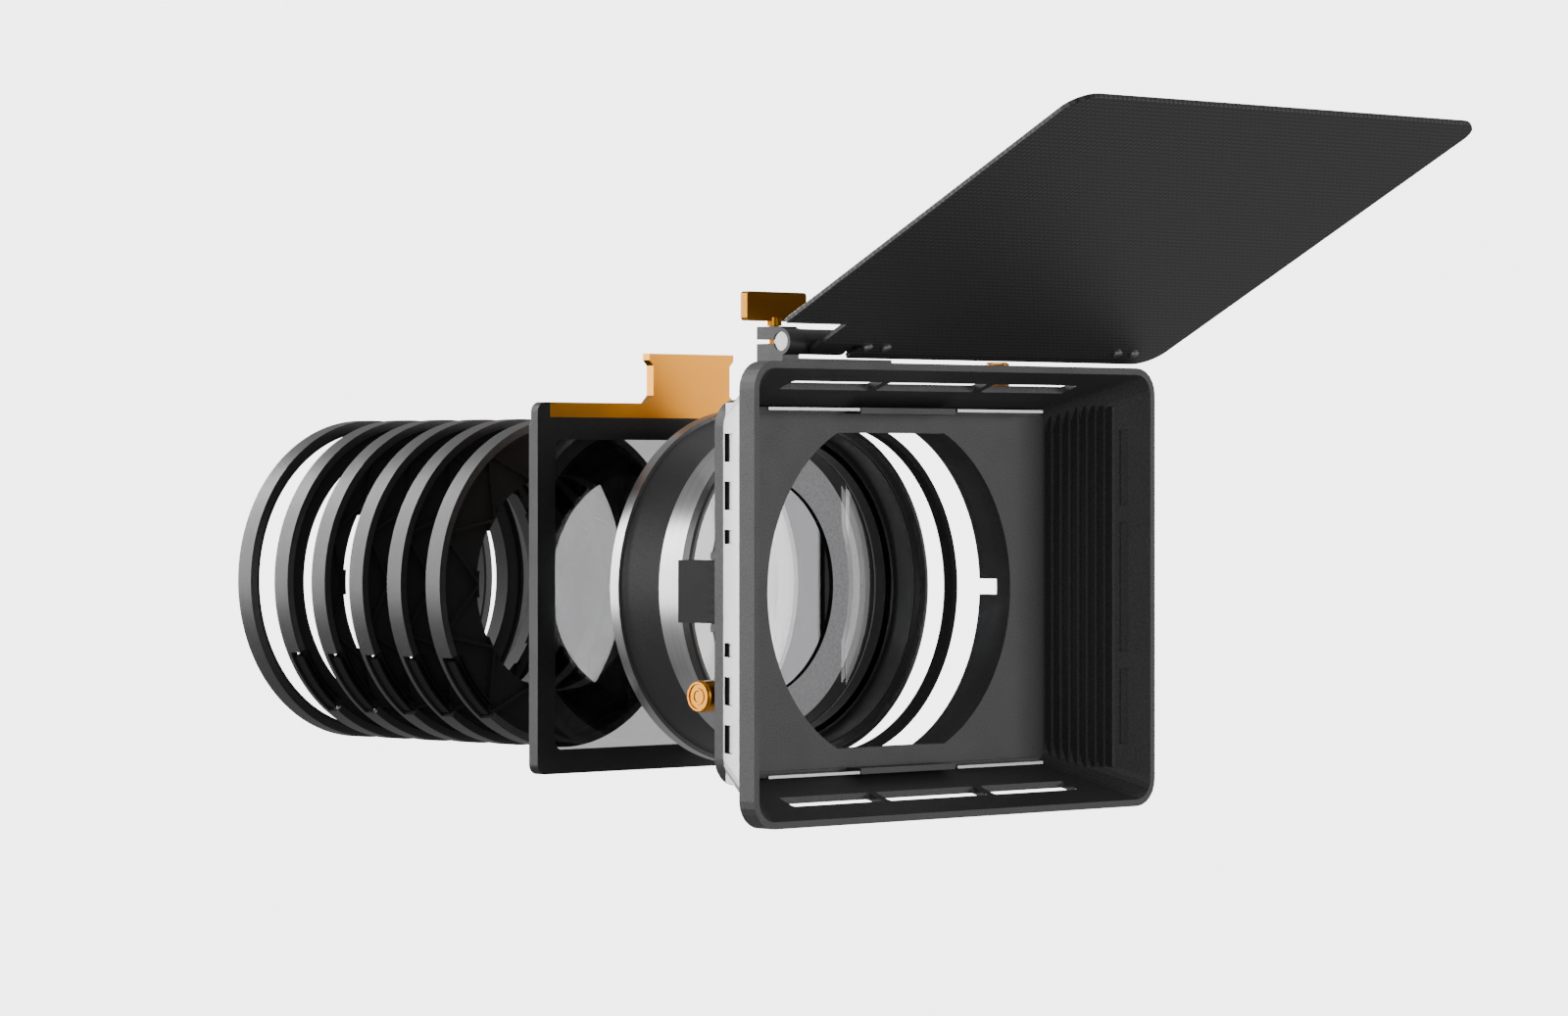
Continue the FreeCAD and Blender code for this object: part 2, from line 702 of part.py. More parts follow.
def pull_knob():
    """The sprung knob at the lower left, whose pin locks an adapter ring."""
    knob = turned("pull_knob", [("-knob_face", "0"), ("-knob_face", "knob_radius-knob_bevel"),
                                ("-knob_face+knob_bevel", "knob_radius"),
                                ("-knob_inner-knob_length/2", "knob_radius"),
                                ("-knob_inner-knob_length/2", "knob_radius-knob_groove"),
                                ("-knob_inner-knob_length/4", "knob_radius-knob_groove"),
                                ("-knob_inner-knob_length/4", "knob_radius"), ("-knob_inner", "knob_radius"),
                                ("-knob_inner", "knob_pin_radius"),
                                ("-bore_at_knob+knob_pin_reach", "knob_pin_radius"),
                                ("-bore_at_knob+knob_pin_reach", "0")], axis="X")
    node(moved(knob, y="knob_y", z="knob_z"), "pull_knob")


def thumb_screw():
    """The gold screw that stands on the lug behind the plate."""
    foot = "hood_rear_height/2+joint_gap"
    screw = turned("top_screw", [("-screw_shank_length", "0"), ("-screw_shank_length", "screw_shank_radius"),
                                 ("0", "screw_shank_radius"), ("0", "screw_radius"),
                                 ("screw_length-screw_bevel", "screw_radius"),
                                 ("screw_length", "screw_radius-screw_bevel"),
                                 ("screw_length", "0")], axis="Z")
    node(moved(screw, "screw_x", "screw_y", foot), "top_screw")


def hinge_bracket():
    """The split clamp and the rail that carry the flag's rod behind the rim."""
    body = new_body("hinge_bracket")
    side = new_sketch(body, "YZ_Plane", "clamp_left")
    floor_front = "slope_at_rim"
    floor_back = "hood_height/2-hood_depth*hood_slope_top-clamp_back*hood_slope_top"
    rim_back = "-hood_depth+rim_depth"
    outline(side, [(rim_back, floor_front), ("clamp_back", floor_back), ("clamp_back", "clamp_top"),
                   ("hinge_y", "clamp_top"), ("hinge_y", "hinge_z"), (rim_back, "hinge_z-clamp_nose")])
    pad(body, side, "clamp_right-clamp_left")
    nose = new_sketch(body, "YZ_Plane", "clamp_left")
    round_hole(nose, "hinge_y", "hinge_z", "clamp_nose")
    pad(body, nose, "clamp_right-clamp_left")
    rail = new_sketch(body, "YZ_Plane", "rail_left")
    rail_floor = "hood_height/2-hood_depth*hood_slope_top-rail_back*hood_slope_top"
    outline(rail, [(rim_back, floor_front), ("rail_back", rail_floor), ("rail_back", "rail_top"),
                   (rim_back, "rail_top")])
    pad(body, rail, "rail_right-rail_left")
    bore = new_sketch(body, "YZ_Plane", "clamp_left")
    round_hole(bore, "hinge_y", "hinge_z", "rod_radius")
    pocket(body, bore, "clamp_right-clamp_left", back=True)
    slit = new_sketch(body, "YZ_Plane", "clamp_left")
    outline(slit, [("hinge_y", "hinge_z-clamp_slit/2"), ("clamp_back+clamp_slit_wall", "hinge_z-clamp_slit/2"),
                   ("clamp_back+clamp_slit_wall", "hinge_z+clamp_slit/2"), ("hinge_y", "hinge_z+clamp_slit/2")])
    pocket(body, slit, "clamp_right-clamp_left", back=True)
    hole = new_sketch(body, "XY_Plane", "clamp_top")
    round_hole(hole, "lever_x", "lever_y", "lever_shank_radius+run_clearance")
    pocket(body, hole, "clamp_top-lever_shank_end+clamp_slit_wall")
    node(body, "hinge_bracket")


def hinge_rod():
    """The silver rod in the clamp, and the clip on its inner end."""
    rod = cylinder("hinge_rod", "rod_radius", "rod_right-rod_left", "rod_left", "hinge_y", "hinge_z", "X")
    node(rod, "hinge_rod")
    clip = cylinder("clip_disc", "clip_radius", "clip_width", "clip_left", "hinge_y", "hinge_z", "X")
    hole = cylinder("clip_hole", "rod_radius", "clip_width", "clip_left", "hinge_y", "hinge_z", "X")
    node(cut("rod_clip", clip, [hole]), "rod_clip")


def tilted(item):
    """Sets a piece drawn flat about the hinge line to the flag's angle at rest."""
    item.Placement = FreeCAD.Placement(FreeCAD.Vector(), FreeCAD.Rotation(FreeCAD.Vector(1, 0, 0), 0))
    bind(item, "Placement.Rotation.Angle", "-flag_tilt")
    item.Placement.Rotation.Axis = FreeCAD.Vector(1, 0, 0)
    return moved(item, "0", "hinge_y", "hinge_z")


def flag():
    """The large top flag, its hinge leaf with the knuckle, and the plate at the other side."""
    body = new_body("top_flag")
    sheet_outline = new_sketch(body, "XY_Plane", "-flag_set_off-flag_thickness/2")
    rounded(sheet_outline, "-flag_width/2", "flag_width/2", "-flag_start-flag_length", "-flag_start",
            "flag_corner")
    pad(body, sheet_outline, "flag_thickness")
    node(tilted(body), "top_flag")

    leaf = new_body("flag_leaf")
    top = "-flag_set_off+flag_thickness/2"
    base = new_sketch(leaf, "XY_Plane", top)
    rounded(base, "leaf_left", "leaf_right", "-flag_start-leaf_length", "-flag_start", "leaf_corner")
    pad(leaf, base, "leaf_thickness")
    barrel = new_sketch(leaf, "YZ_Plane", "knuckle_left")
    round_hole(barrel, "0", "0", "knuckle_radius")
    pad(leaf, barrel, "knuckle_right-knuckle_left")
    bore = new_sketch(leaf, "YZ_Plane", "knuckle_left")
    round_hole(bore, "0", "0", "rod_radius+run_clearance")
    pocket(leaf, bore, "knuckle_right-knuckle_left", back=True)
    relief = new_sketch(leaf, "XY_Plane", top + "+leaf_thickness")
    left, right = "knuckle_right", "knuckle_right+2*joint_gap+clip_width"
    outline(relief, [(left, "-clip_radius-joint_gap"), (right, "-clip_radius-joint_gap"),
                     (right, "0"), (left, "0")])
    pocket(leaf, relief, "leaf_thickness")
    node(tilted(leaf), "flag_leaf")

    backing = new_body("flag_plate")
    base = new_sketch(backing, "XY_Plane", top)
    rounded(base, "plate_left", "plate_right", "-flag_start-leaf_length", "-flag_start", "leaf_corner")
    pad(backing, base, "leaf_thickness")
    node(tilted(backing), "flag_plate")


def flag_lever():
    """The gold T lever that closes the split clamp."""
    stem = turned("lever_stem", [("lever_shank_end", "0"), ("lever_shank_end", "lever_shank_radius"),
                                 ("clamp_top+joint_gap", "lever_shank_radius"),
                                 ("clamp_top+joint_gap", "lever_neck_radius"),
                                 ("lever_bottom+edge_round", "lever_neck_radius"),
                                 ("lever_bottom+edge_round", "0")], axis="Z")
    moved(stem, "lever_x", "lever_y")
    bar = new_body("lever_bar")
    face = new_sketch(bar, "XZ_Plane")
    rounded(face, "-lever_length/2", "lever_length/2", "lever_bottom", "lever_top", "edge_round")
    pad(bar, face, "lever_thickness", middle=True)
    moved(bar, "lever_x", "lever_y")
    node(fuse("flag_lever", [stem, bar]), "flag_lever")


def spacer_ring():
    """The slim ring between the collar and the filter."""
    ring = turned("spacer_ring", [("spacer_front", "spacer_radius-spacer_wall"),
                                  ("spacer_front+spacer_depth", "spacer_radius-spacer_wall"),
                                  ("spacer_front+spacer_depth", "spacer_radius"),
                                  ("spacer_front", "spacer_radius")])
    node(ring, "spacer_ring")


def disc(name, front, radius):
    """A round glass with its front face at a place on the axis."""
    back = front + "+glass_thickness"
    node(turned(name, [(front, "0"), (front, radius), (back, radius), (back, "0")]), name)


def filter_unit():
    """The variable filter: a front ring that turns in a body with a silver flange."""
    rim = turned("filter_rim", [("filter_front", "rim_bore"), ("grip_front", "rim_bore"),
                                ("grip_front", "rim_radius"), ("filter_front+rim_bevel", "rim_radius"),
                                ("filter_front", "rim_radius-rim_bevel")])
    node(rim, "filter_rim")
    grip = turned("filter_grip", [("grip_front", "grip_bore"), ("grip_back", "grip_bore"),
                                  ("grip_back", "spigot_bore"), ("spigot_back", "spigot_bore"),
                                  ("spigot_back", "spigot_radius"), ("grip_back+joint_gap", "spigot_radius"),
                                  ("grip_back", "grip_radius"), ("grip_front", "grip_radius")])
    node(grip, "filter_grip")
    disc("front_glass", "front_glass_y", "grip_bore")
    shell = turned("filter_body", [("body_front", "body_bore"), ("body_front", "body_front_radius"),
                                   ("body_back", "body_back_radius"), ("body_back", "body_step"),
                                   ("spigot_back+body_stop", "body_step"), ("spigot_back+body_stop", "body_bore")])
    node(shell, "filter_body")
    flange = turned("filter_flange", [("body_back", "body_step"), ("body_back", "flange_radius"),
                                      ("flange_back-flange_bevel", "flange_radius"),
                                      ("flange_back", "flange_radius-flange_bevel"),
                                      ("flange_back", "body_bore"), ("rear_glass_y", "body_bore"),
                                      ("rear_glass_y", "body_step")])
    node(flange, "filter_flange")
    disc("rear_glass", "rear_glass_y", "body_bore")


def filter_tray():
    """The square tray: frame, glass, cover plate, screws and gold handle."""
    half, top = "tray_width/2", "tray_height/2"
    frame = new_body("tray_frame")
    face = new_sketch(frame, "XZ_Plane", "-tray_front")
    rounded(face, "-" + half, half, "-" + top, top, "tray_corner")
    left, right = "-tray_width/2+tray_margin", "tray_width/2-tray_margin"
    low, high = "-tray_height/2+tray_margin", "tray_height/2-tray_top_margin"
    rounded(face, left, right, low, high, "tray_corner")
    pad(frame, face, "tray_thickness", back=True)
    seat = new_sketch(frame, "XZ_Plane", "-tray_back")
    rounded(seat, left + "-tray_glass_lap", right + "+tray_glass_lap", low + "-tray_glass_lap",
            high + "+tray_glass_lap", "tray_corner")
    pocket(frame, seat, "tray_glass_thickness", back=True)
    notch = new_sketch(frame, "XZ_Plane", "-tray_front")
    outline(notch, [("-tray_width/2+bar_end", "tray_height/2-bar_height"),
                    ("tray_width/2-bar_end", "tray_height/2-bar_height"),
                    ("tray_width/2-bar_end", "tray_height/2+bar_height"),
                    ("-tray_width/2+bar_end", "tray_height/2+bar_height")])
    pocket(frame, notch, "tray_thickness")
    node(frame, "tray_frame")

    glass = new_body("tray_glass")
    face = new_sketch(glass, "XZ_Plane", "-tray_back")
    rounded(face, left + "-tray_glass_lap", right + "+tray_glass_lap", low + "-tray_glass_lap",
            high + "+tray_glass_lap", "tray_corner")
    pad(glass, face, "tray_glass_thickness")
    node(glass, "tray_glass")

    cover = new_body("tray_cover")
    face = new_sketch(cover, "XZ_Plane", "-tray_back")
    rounded(face, "-" + half, half, "-" + top, "tray_height/2-bar_height", "tray_corner")
    rounded(face, left, right, low, high, "tray_corner")
    pad(cover, face, "tray_cover", back=True)
    node(cover, "tray_cover")

    handle = new_body("tray_handle")
    face = new_sketch(handle, "XZ_Plane", "-tray_front")
    side = [("tray_width/2-bar_end", "tray_height/2-bar_height"), ("tray_width/2-bar_end", "tray_height/2"),
            ("tab_width/2+tab_root", "tray_height/2"), ("tab_width/2", "tray_height/2+tab_root"),
            ("tab_width/2", "tray_height/2+tab_height-tab_ear_height-tab_ear"),
            ("tab_width/2+tab_ear", "tray_height/2+tab_height-tab_ear_height"),
            ("tab_width/2+tab_ear", "tray_height/2+tab_height")]
    other = [(opposite(x), z) for x, z in reversed(side)]
    outline(face, side + other)
    pad(handle, face, "tray_thickness", back=True)
    node(handle, "tray_handle")


def adapter(index, thread):
    """One adapter ring: outer band, hub with the lens thread, and the web between them."""
    bore, hub = "thread_%d/2" % thread, "thread_%d/2+adapter_wall" % thread
    band = "adapter_radius-adapter_wall"
    name = "adapter_%d" % thread
    wide = number(band) - number(hub)
    outside = [("0", "adapter_radius"), ("adapter_depth-adapter_bevel", "adapter_radius"),
               ("adapter_depth", "adapter_radius-adapter_bevel")]
    if wide > sheet.web_least:
        points = [("web_start", bore), ("web_start", band), ("0", band)] + outside
        points += [("adapter_depth", band), ("web_start+web_thickness", band), ("web_start+web_thickness", hub),
                   ("adapter_depth", hub), ("adapter_depth", bore)]
    else:
        points = [("0", bore)] + outside + [("adapter_depth", bore)]
    body = turned(name, points)
    if wide > sheet.truss_least:
        truss(body, bore, band)
    if wide > sheet.web_least:
        notch = new_sketch(body, "XZ_Plane")
        wedge(notch, [("adapter_radius-adapter_wall", "from"), ("adapter_radius+adapter_wall", "from"),
                      ("adapter_radius+adapter_wall", "to"), ("adapter_radius-adapter_wall", "to")])
        pocket(body, notch, "adapter_notch_depth")
    moved(body, y="adapter_first+%d*adapter_pitch" % index)
    node(body, name)


def wedge(sketch, corners):
    """A four-sided patch in the lower left, each corner a radius and one of the notch angles."""
    vector = FreeCAD.Vector
    points = []
    for radius, side in corners:
        angle = math.radians(180 + getattr(sheet, "adapter_notch_" + side))
        reach = number(radius)
        points.append((vector(reach * math.cos(angle), reach * math.sin(angle), 0), radius, side))
    for i in range(4):
        sketch.addGeometry(Part.LineSegment(points[i][0], points[(i + 1) % 4][0]), False)
    for i in range(4):
        sketch.addConstraint(Sketcher.Constraint("Coincident", i, 2, (i + 1) % 4, 1))
    for i, (point, radius, side) in enumerate(points):
        turn = "180deg + adapter_notch_%s * 1deg" % side
        for kind, part, value in (("DistanceX", "cos", point.x), ("DistanceY", "sin", point.y)):
            place = sketch.addConstraint(Sketcher.Constraint(kind, -1, 1, i, 1, value))
            formula = "(%s) * %s(%s)" % (linked(radius), part, linked(turn).replace("Sizes.deg", "deg"))
            sketch.setExpression("Constraints[%d]" % place, formula)


def truss(body, hub, band):
    """Two rings of triangular recesses, which leave a zigzag of ribs on the front of the web."""
    count = int(sheet.truss_count)
    step = 2 * math.pi / count
    inner, outer = number(hub) + float(sheet.truss_margin), number(band) - float(sheet.truss_margin)
    rib = float(sheet.truss_rib)
    vector = FreeCAD.Vector
    for lead, base, tip in ((0.0, outer, inner), (step / 2, inner, outer)):
        half = step / 2 - rib / base
        flat = [(base, lead - half), (base, lead + half), (tip, lead + rib / tip / 4), (tip, lead - rib / tip / 4)]
        corners = [vector(r * math.cos(a), r * math.sin(a), 0) for r, a in flat]
        window = new_sketch(body, "XZ_Plane", "-web_start")
        for i in range(4):
            window.addGeometry(Part.LineSegment(corners[i], corners[(i + 1) % 4]), False)
        for i in range(4):
            window.addConstraint(Sketcher.Constraint("Coincident", i, 2, (i + 1) % 4, 1))
        feature = pocket(body, window, "truss_depth")
        polar(body, feature, "truss_count")


hood_shell()
aperture_plate()
baffle_strips()
lens_collar()
latch()
pull_knob()
thumb_screw()
hinge_bracket()
hinge_rod()
flag()
flag_lever()
spacer_ring()
filter_unit()
filter_tray()
for index, thread in enumerate((67, 72, 77, 82, 86, 95)):
    adapter(index, thread)

doc.recompute()
for item in doc.Objects:
    if "Invalid" in item.State or "Error" in item.State:
        raise RuntimeError(item.Label + " has failed: " + str(item.State))
for item in nodes:
    if item.Shape.isNull() or not item.Shape.isValid() or not item.Shape.Solids:
        raise RuntimeError(item.Label + " has no sound solid")

os.makedirs("parts", exist_ok=True)
for item in nodes:
    item.Shape.exportStep(os.path.join("parts", item.Label + ".step"))
    print(item.Label, len(item.Shape.Solids), round(item.Shape.Volume, 1))
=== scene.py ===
import json
import math

import bmesh
import bpy
from bpy.props import FloatProperty, FloatVectorProperty, PointerProperty
from mathutils import Matrix, Vector


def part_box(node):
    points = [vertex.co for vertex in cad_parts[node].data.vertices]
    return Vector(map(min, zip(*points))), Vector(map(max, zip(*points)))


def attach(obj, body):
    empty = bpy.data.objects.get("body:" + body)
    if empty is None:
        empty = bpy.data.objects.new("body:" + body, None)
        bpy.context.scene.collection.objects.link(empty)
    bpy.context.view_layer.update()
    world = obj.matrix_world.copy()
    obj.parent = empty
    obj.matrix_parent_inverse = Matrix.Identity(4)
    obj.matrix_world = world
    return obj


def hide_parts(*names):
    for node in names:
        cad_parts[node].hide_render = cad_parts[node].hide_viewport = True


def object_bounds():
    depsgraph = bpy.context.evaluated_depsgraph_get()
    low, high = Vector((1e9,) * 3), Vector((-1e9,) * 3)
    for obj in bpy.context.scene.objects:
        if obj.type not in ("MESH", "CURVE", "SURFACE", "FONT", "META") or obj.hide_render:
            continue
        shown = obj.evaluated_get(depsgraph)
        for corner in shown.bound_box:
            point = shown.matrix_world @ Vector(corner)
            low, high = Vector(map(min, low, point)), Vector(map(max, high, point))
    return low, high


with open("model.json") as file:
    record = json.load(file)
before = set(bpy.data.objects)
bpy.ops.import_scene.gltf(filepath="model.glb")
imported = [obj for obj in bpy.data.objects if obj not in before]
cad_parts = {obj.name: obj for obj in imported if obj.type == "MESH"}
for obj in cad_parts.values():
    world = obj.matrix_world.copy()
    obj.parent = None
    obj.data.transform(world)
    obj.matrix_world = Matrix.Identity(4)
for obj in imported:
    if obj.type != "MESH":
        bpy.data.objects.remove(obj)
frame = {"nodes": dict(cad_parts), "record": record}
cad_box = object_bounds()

bl_info = {
    "name": "Matte Box",
    "version": (1, 0, 0),
    "blender": (4, 5, 0),
    "location": "3D View > Sidebar > Matte Box",
    "description": "Dresses a matte box that is shown taken apart along its optical axis",
    "category": "Object",
}

MM = 0.001
FINE = 160
PHOTO_WIDTH, PHOTO_HEIGHT = 1600, 1037
SENSOR_MM = 36.0

# Places and sizes of the object, in mm: X to the right seen from in front, Y back along the optical axis, Z up
HINGE = (0, -21.5, 71)
FLAG_TILT = math.radians(27.6)
FLAG_PLACE = Matrix.Translation(Vector(HINGE) * MM) @ Matrix.Rotation(-FLAG_TILT, 4, "X")
FLAG_SIDE = 84.9
FLAG_BACK, FLAG_FRONT = -0.94, -143.34
FLAG_UNDER, FLAG_OVER = -5.65, -4.15
FLAG_CORNER, CORNER_STEPS = 8.0, 8
CLAMP_CUT = (-61.0, 19.0)
KNUCKLE_CUT = (-44.2, 7.5)
RIVETS_ACROSS = (-41.5, -34.0, 64.3, 71.7)
RIVET_ROW = -7.5
RIVET_RADIUS, RIVET_HEIGHT = 1.6, 0.7
LIP_SPANS = ((-57.5, -20.5), (20.5, 57.5))
LIP_HEIGHT, LIP_PROUD, LIP_SUNK, LIP_CUT = 1.1, 0.25, 0.35, 0.15
KNOB_END = (-61, 18, -30)
WEB_FRONT, WEB_BACK, WEB_FACE = 57.8, 59.4, 57.0
WEB_HOLE, WEB_RIM = 33.5, 44.55
WEB_RIBS, RIB_RISE = 12, 0.5
THREAD_PITCH, THREAD_DEPTH = 0.8, 0.45
STOP_FRONT, STOP_BACK = 50.7, 51.3
KEEPER_FRONT, KEEPER_BACK = 44.0, 44.7
NOTCH_START, NOTCH_END = 208.0, 232.5
NOTCH_FLOOR, NOTCH_TOP = 46.4, 50.3
GRIP_SKIN = 47.9 * MM
WEB_OF_ADAPTER = 48.4 * MM


def colour(name, text, value):
    return FloatVectorProperty(name=name, description=text, subtype="COLOR", size=3, min=0, max=1, default=value)


def length(name, text, value):
    return FloatProperty(name=name, description=text, subtype="DISTANCE", unit="LENGTH", default=value)


class MatteBoxFinish(bpy.types.PropertyGroup):
    """Colours and surface values of the finishes."""
    hood: colour("Hood", "Grained black of the hood and its plate", (0.032, 0.032, 0.033))
    metal: colour("Black metal", "Satin black of rings and brackets", (0.024, 0.024, 0.025))
    # This darker black paints shade onto the latch, the webs and the recesses
    shade_black: colour("Black with painted shade", "Black of the latch, the webs and other recesses", (0.0055, 0.0055, 0.006))
    carbon: colour("Carbon", "Light threads of the carbon sheet", (0.040, 0.040, 0.042))
    carbon_dark: colour("Carbon shade", "Dark threads of the carbon sheet", (0.003, 0.003, 0.0032))
    gold: colour("Gold", "Gold anodised metal", (0.62, 0.25, 0.025))
    silver: colour("Silver", "Bright turned metal", (0.52, 0.52, 0.53))
    steel: colour("Steel", "Lips, pins and rivets", (0.40, 0.40, 0.41))
    glass: colour("Filter glass", "Tint of the round filter's two glasses", (0.78, 0.78, 0.79))
    tray_glass: colour("Tray glass", "Tint of the square filter's mirror-like glass", (0.115, 0.115, 0.117))
    # This colour also feeds a glow on the web face: painted light where light doesn't reach through the glass
    lacquer_and_glow: colour("Grey lacquer and painted glow", "Satin grey of the filter's web, seen through the front glass", (0.16, 0.16, 0.162))
    rubber: colour("Rubber", "Black rubber of the slim ring", (0.012, 0.012, 0.012))
    weave: length("Weave pitch", "Width of one thread of the carbon cloth", 1.85 * MM)
    edge: length("Edge break", "Width of the broken edges", 0.25 * MM)


class MatteBoxView(bpy.types.PropertyGroup):
    """Where the camera stands and what lights the object."""
    place: FloatVectorProperty(name="Camera place", description="Camera position in metres", size=3,
                               subtype="XYZ", unit="LENGTH", default=(-1.1378, -1.1012, 0.0335))
    turn: FloatProperty(name="Camera turn", description="Turn of the view from straight ahead", subtype="ANGLE",
                        default=math.radians(-44.8))
    focal_px: FloatProperty(name="Focal length", description="Focal length in pixels of the photograph",
                            default=5533)
    horizon_row: FloatProperty(name="Horizon row", description="Row of the photograph at camera height",
                               default=484.7)
    backdrop: FloatProperty(name="Backdrop light", description="Brightness of the pale backdrop to the camera",
                            default=4.6)
    room: FloatProperty(name="Room light", description="Brightness of the room that lights the object",
                        default=0.34)
    floor_drop: length("Floor drop", "How far the floor lies under the object", 0.25)


def finish():
    return bpy.context.scene.matte_box_finish


def cad(name):
    return frame["nodes"][name]


def new_group(name, inputs, outputs):
    """An empty shader node group with the sockets given as (kind, name, default)."""
    group = bpy.data.node_groups.new(name, "ShaderNodeTree")
    for kind, label, value in inputs:
        socket = group.interface.new_socket(label, in_out="INPUT", socket_type=kind)
        if value is not None:
            socket.default_value = value
    for kind, label in outputs:
        group.interface.new_socket(label, in_out="OUTPUT", socket_type=kind)
    return group, group.nodes.new("NodeGroupInput"), group.nodes.new("NodeGroupOutput")


def math_node(tree, operation, first, second=None):
    node = tree.nodes.new("ShaderNodeMath")
    node.operation = operation
    for place, value in enumerate((first, second)):
        if value is None:
            continue
        if isinstance(value, (int, float)):
            node.inputs[place].default_value = value
        else:
            tree.links.new(value, node.inputs[place])
    return node.outputs[0]


def grain_group():
    """Fine sandy grain of a bead-blasted, coated surface."""
    group, given, result = new_group(
        "Blasted Grain",
        [("NodeSocketFloat", "Scale", 2500.0), ("NodeSocketFloat", "Mottle Scale", 90.0)],
        [("NodeSocketFloat", "Height"), ("NodeSocketFloat", "Mottle")])
    coords = group.nodes.new("ShaderNodeTexCoord")
    fine = group.nodes.new("ShaderNodeTexNoise")
    fine.inputs["Detail"].default_value = 2
    broad = group.nodes.new("ShaderNodeTexNoise")
    broad.inputs["Detail"].default_value = 4
    group.links.new(coords.outputs["Object"], fine.inputs["Vector"])
    group.links.new(coords.outputs["Object"], broad.inputs["Vector"])
    group.links.new(given.outputs["Scale"], fine.inputs["Scale"])
    group.links.new(given.outputs["Mottle Scale"], broad.inputs["Scale"])
    group.links.new(fine.outputs["Fac"], result.inputs["Height"])
    group.links.new(broad.outputs["Fac"], result.inputs["Mottle"])
    return group


def weave_group():
    """Plain carbon cloth: threads over and under each other, with rounded crowns."""
    group, given, result = new_group(
        "Carbon Weave", [("NodeSocketFloat", "Pitch", 0.00185), ("NodeSocketFloat", "Tilt", 0.0)],
        [("NodeSocketFloat", "Over"), ("NodeSocketFloat", "Height"), ("NodeSocketFloat", "Fibre")])
    coords = group.nodes.new("ShaderNodeTexCoord")
    turn = group.nodes.new("ShaderNodeVectorRotate")
    turn.rotation_type = "X_AXIS"
    group.links.new(coords.outputs["Object"], turn.inputs["Vector"])
    group.links.new(given.outputs["Tilt"], turn.inputs["Angle"])
    split = group.nodes.new("ShaderNodeSeparateXYZ")
    group.links.new(turn.outputs[0], split.inputs[0])
    pitch = given.outputs["Pitch"]
    across = math_node(group, "DIVIDE", split.outputs["X"], pitch)
    along = math_node(group, "DIVIDE", split.outputs["Y"], pitch)
    cell = math_node(group, "ADD", math_node(group, "FLOOR", across), math_node(group, "FLOOR", along))
    over = math_node(group, "FLOORED_MODULO", cell, 2.0)
    half_x = math_node(group, "SUBTRACT", math_node(group, "FRACT", across), 0.5)
    half_y = math_node(group, "SUBTRACT", math_node(group, "FRACT", along), 0.5)
    mix_in = group.nodes.new("ShaderNodeMix")
    group.links.new(over, mix_in.inputs["Factor"])
    group.links.new(half_x, mix_in.inputs["A"])
    group.links.new(half_y, mix_in.inputs["B"])
    mix_out = group.nodes.new("ShaderNodeMix")
    group.links.new(over, mix_out.inputs["Factor"])
    group.links.new(half_y, mix_out.inputs["A"])
    group.links.new(half_x, mix_out.inputs["B"])
    crown = math_node(group, "COSINE", math_node(group, "MULTIPLY", mix_in.outputs[0], math.pi))
    bend = math_node(group, "COSINE", math_node(group, "MULTIPLY", mix_out.outputs[0], math.pi))
    height = math_node(group, "MULTIPLY", math_node(group, "SQRT", math_node(group, "MAXIMUM", crown, 0.0)), bend)
    fibre = math_node(group, "SINE", math_node(group, "MULTIPLY", mix_in.outputs[0], 60.0))
    group.links.new(over, result.inputs["Over"])
    group.links.new(height, result.inputs["Height"])
    group.links.new(fibre, result.inputs["Fibre"])
    return group


def turned_group():
    """Fine turning marks that run round the optical axis, close together along it."""
    group, given, result = new_group(
        "Tool Marks", [("NodeSocketFloat", "Scale", 900.0), ("NodeSocketFloat", "Stretch", 0.02)],
        [("NodeSocketFloat", "Height")])
    coords = group.nodes.new("ShaderNodeTexCoord")
    squeeze = group.nodes.new("ShaderNodeCombineXYZ")
    group.links.new(given.outputs["Stretch"], squeeze.inputs["X"])
    squeeze.inputs["Y"].default_value = 1.0
    group.links.new(given.outputs["Stretch"], squeeze.inputs["Z"])
    scaled = group.nodes.new("ShaderNodeVectorMath")
    scaled.operation = "MULTIPLY"
    group.links.new(coords.outputs["Object"], scaled.inputs[0])
    group.links.new(squeeze.outputs[0], scaled.inputs[1])
    noise = group.nodes.new("ShaderNodeTexNoise")
    noise.inputs["Detail"].default_value = 3
    group.links.new(scaled.outputs[0], noise.inputs["Vector"])
    group.links.new(given.outputs["Scale"], noise.inputs["Scale"])
    group.links.new(noise.outputs["Fac"], result.inputs["Height"])
    return group


def zone_group():
    """Tells how far out from the optical axis a point lies: 0 inside a radius, 1 outside it."""
    group, given, result = new_group("Ring Zone", [("NodeSocketFloat", "Radius", 0.048)],
                                     [("NodeSocketFloat", "Outside")])
    coords = group.nodes.new("ShaderNodeTexCoord")
    flat = group.nodes.new("ShaderNodeVectorMath")
    flat.operation = "MULTIPLY"
    flat.inputs[1].default_value = (1, 0, 1)
    group.links.new(coords.outputs["Object"], flat.inputs[0])
    reach = group.nodes.new("ShaderNodeVectorMath")
    reach.operation = "LENGTH"
    group.links.new(flat.outputs[0], reach.inputs[0])
    beyond = math_node(group, "GREATER_THAN", reach.outputs["Value"], given.outputs["Radius"])
    group.links.new(beyond, result.inputs["Outside"])
    return group


GROUPS = {}


def group_in(tree, name, **values):
    """Places one of the shared groups in a material and sets its inputs."""
    makers = {"Blasted Grain": grain_group, "Carbon Weave": weave_group, "Tool Marks": turned_group,
              "Ring Zone": zone_group}
    if name not in GROUPS:
        GROUPS[name] = makers[name]()
    node = tree.nodes.new("ShaderNodeGroup")
    node.node_tree = GROUPS[name]
    for label, value in values.items():
        node.inputs[label.replace("_", " ")].default_value = value
    return node


def new_material(name):
    material = bpy.data.materials.new(name)
    material.use_nodes = True
    return material, material.node_tree, material.node_tree.nodes["Principled BSDF"]


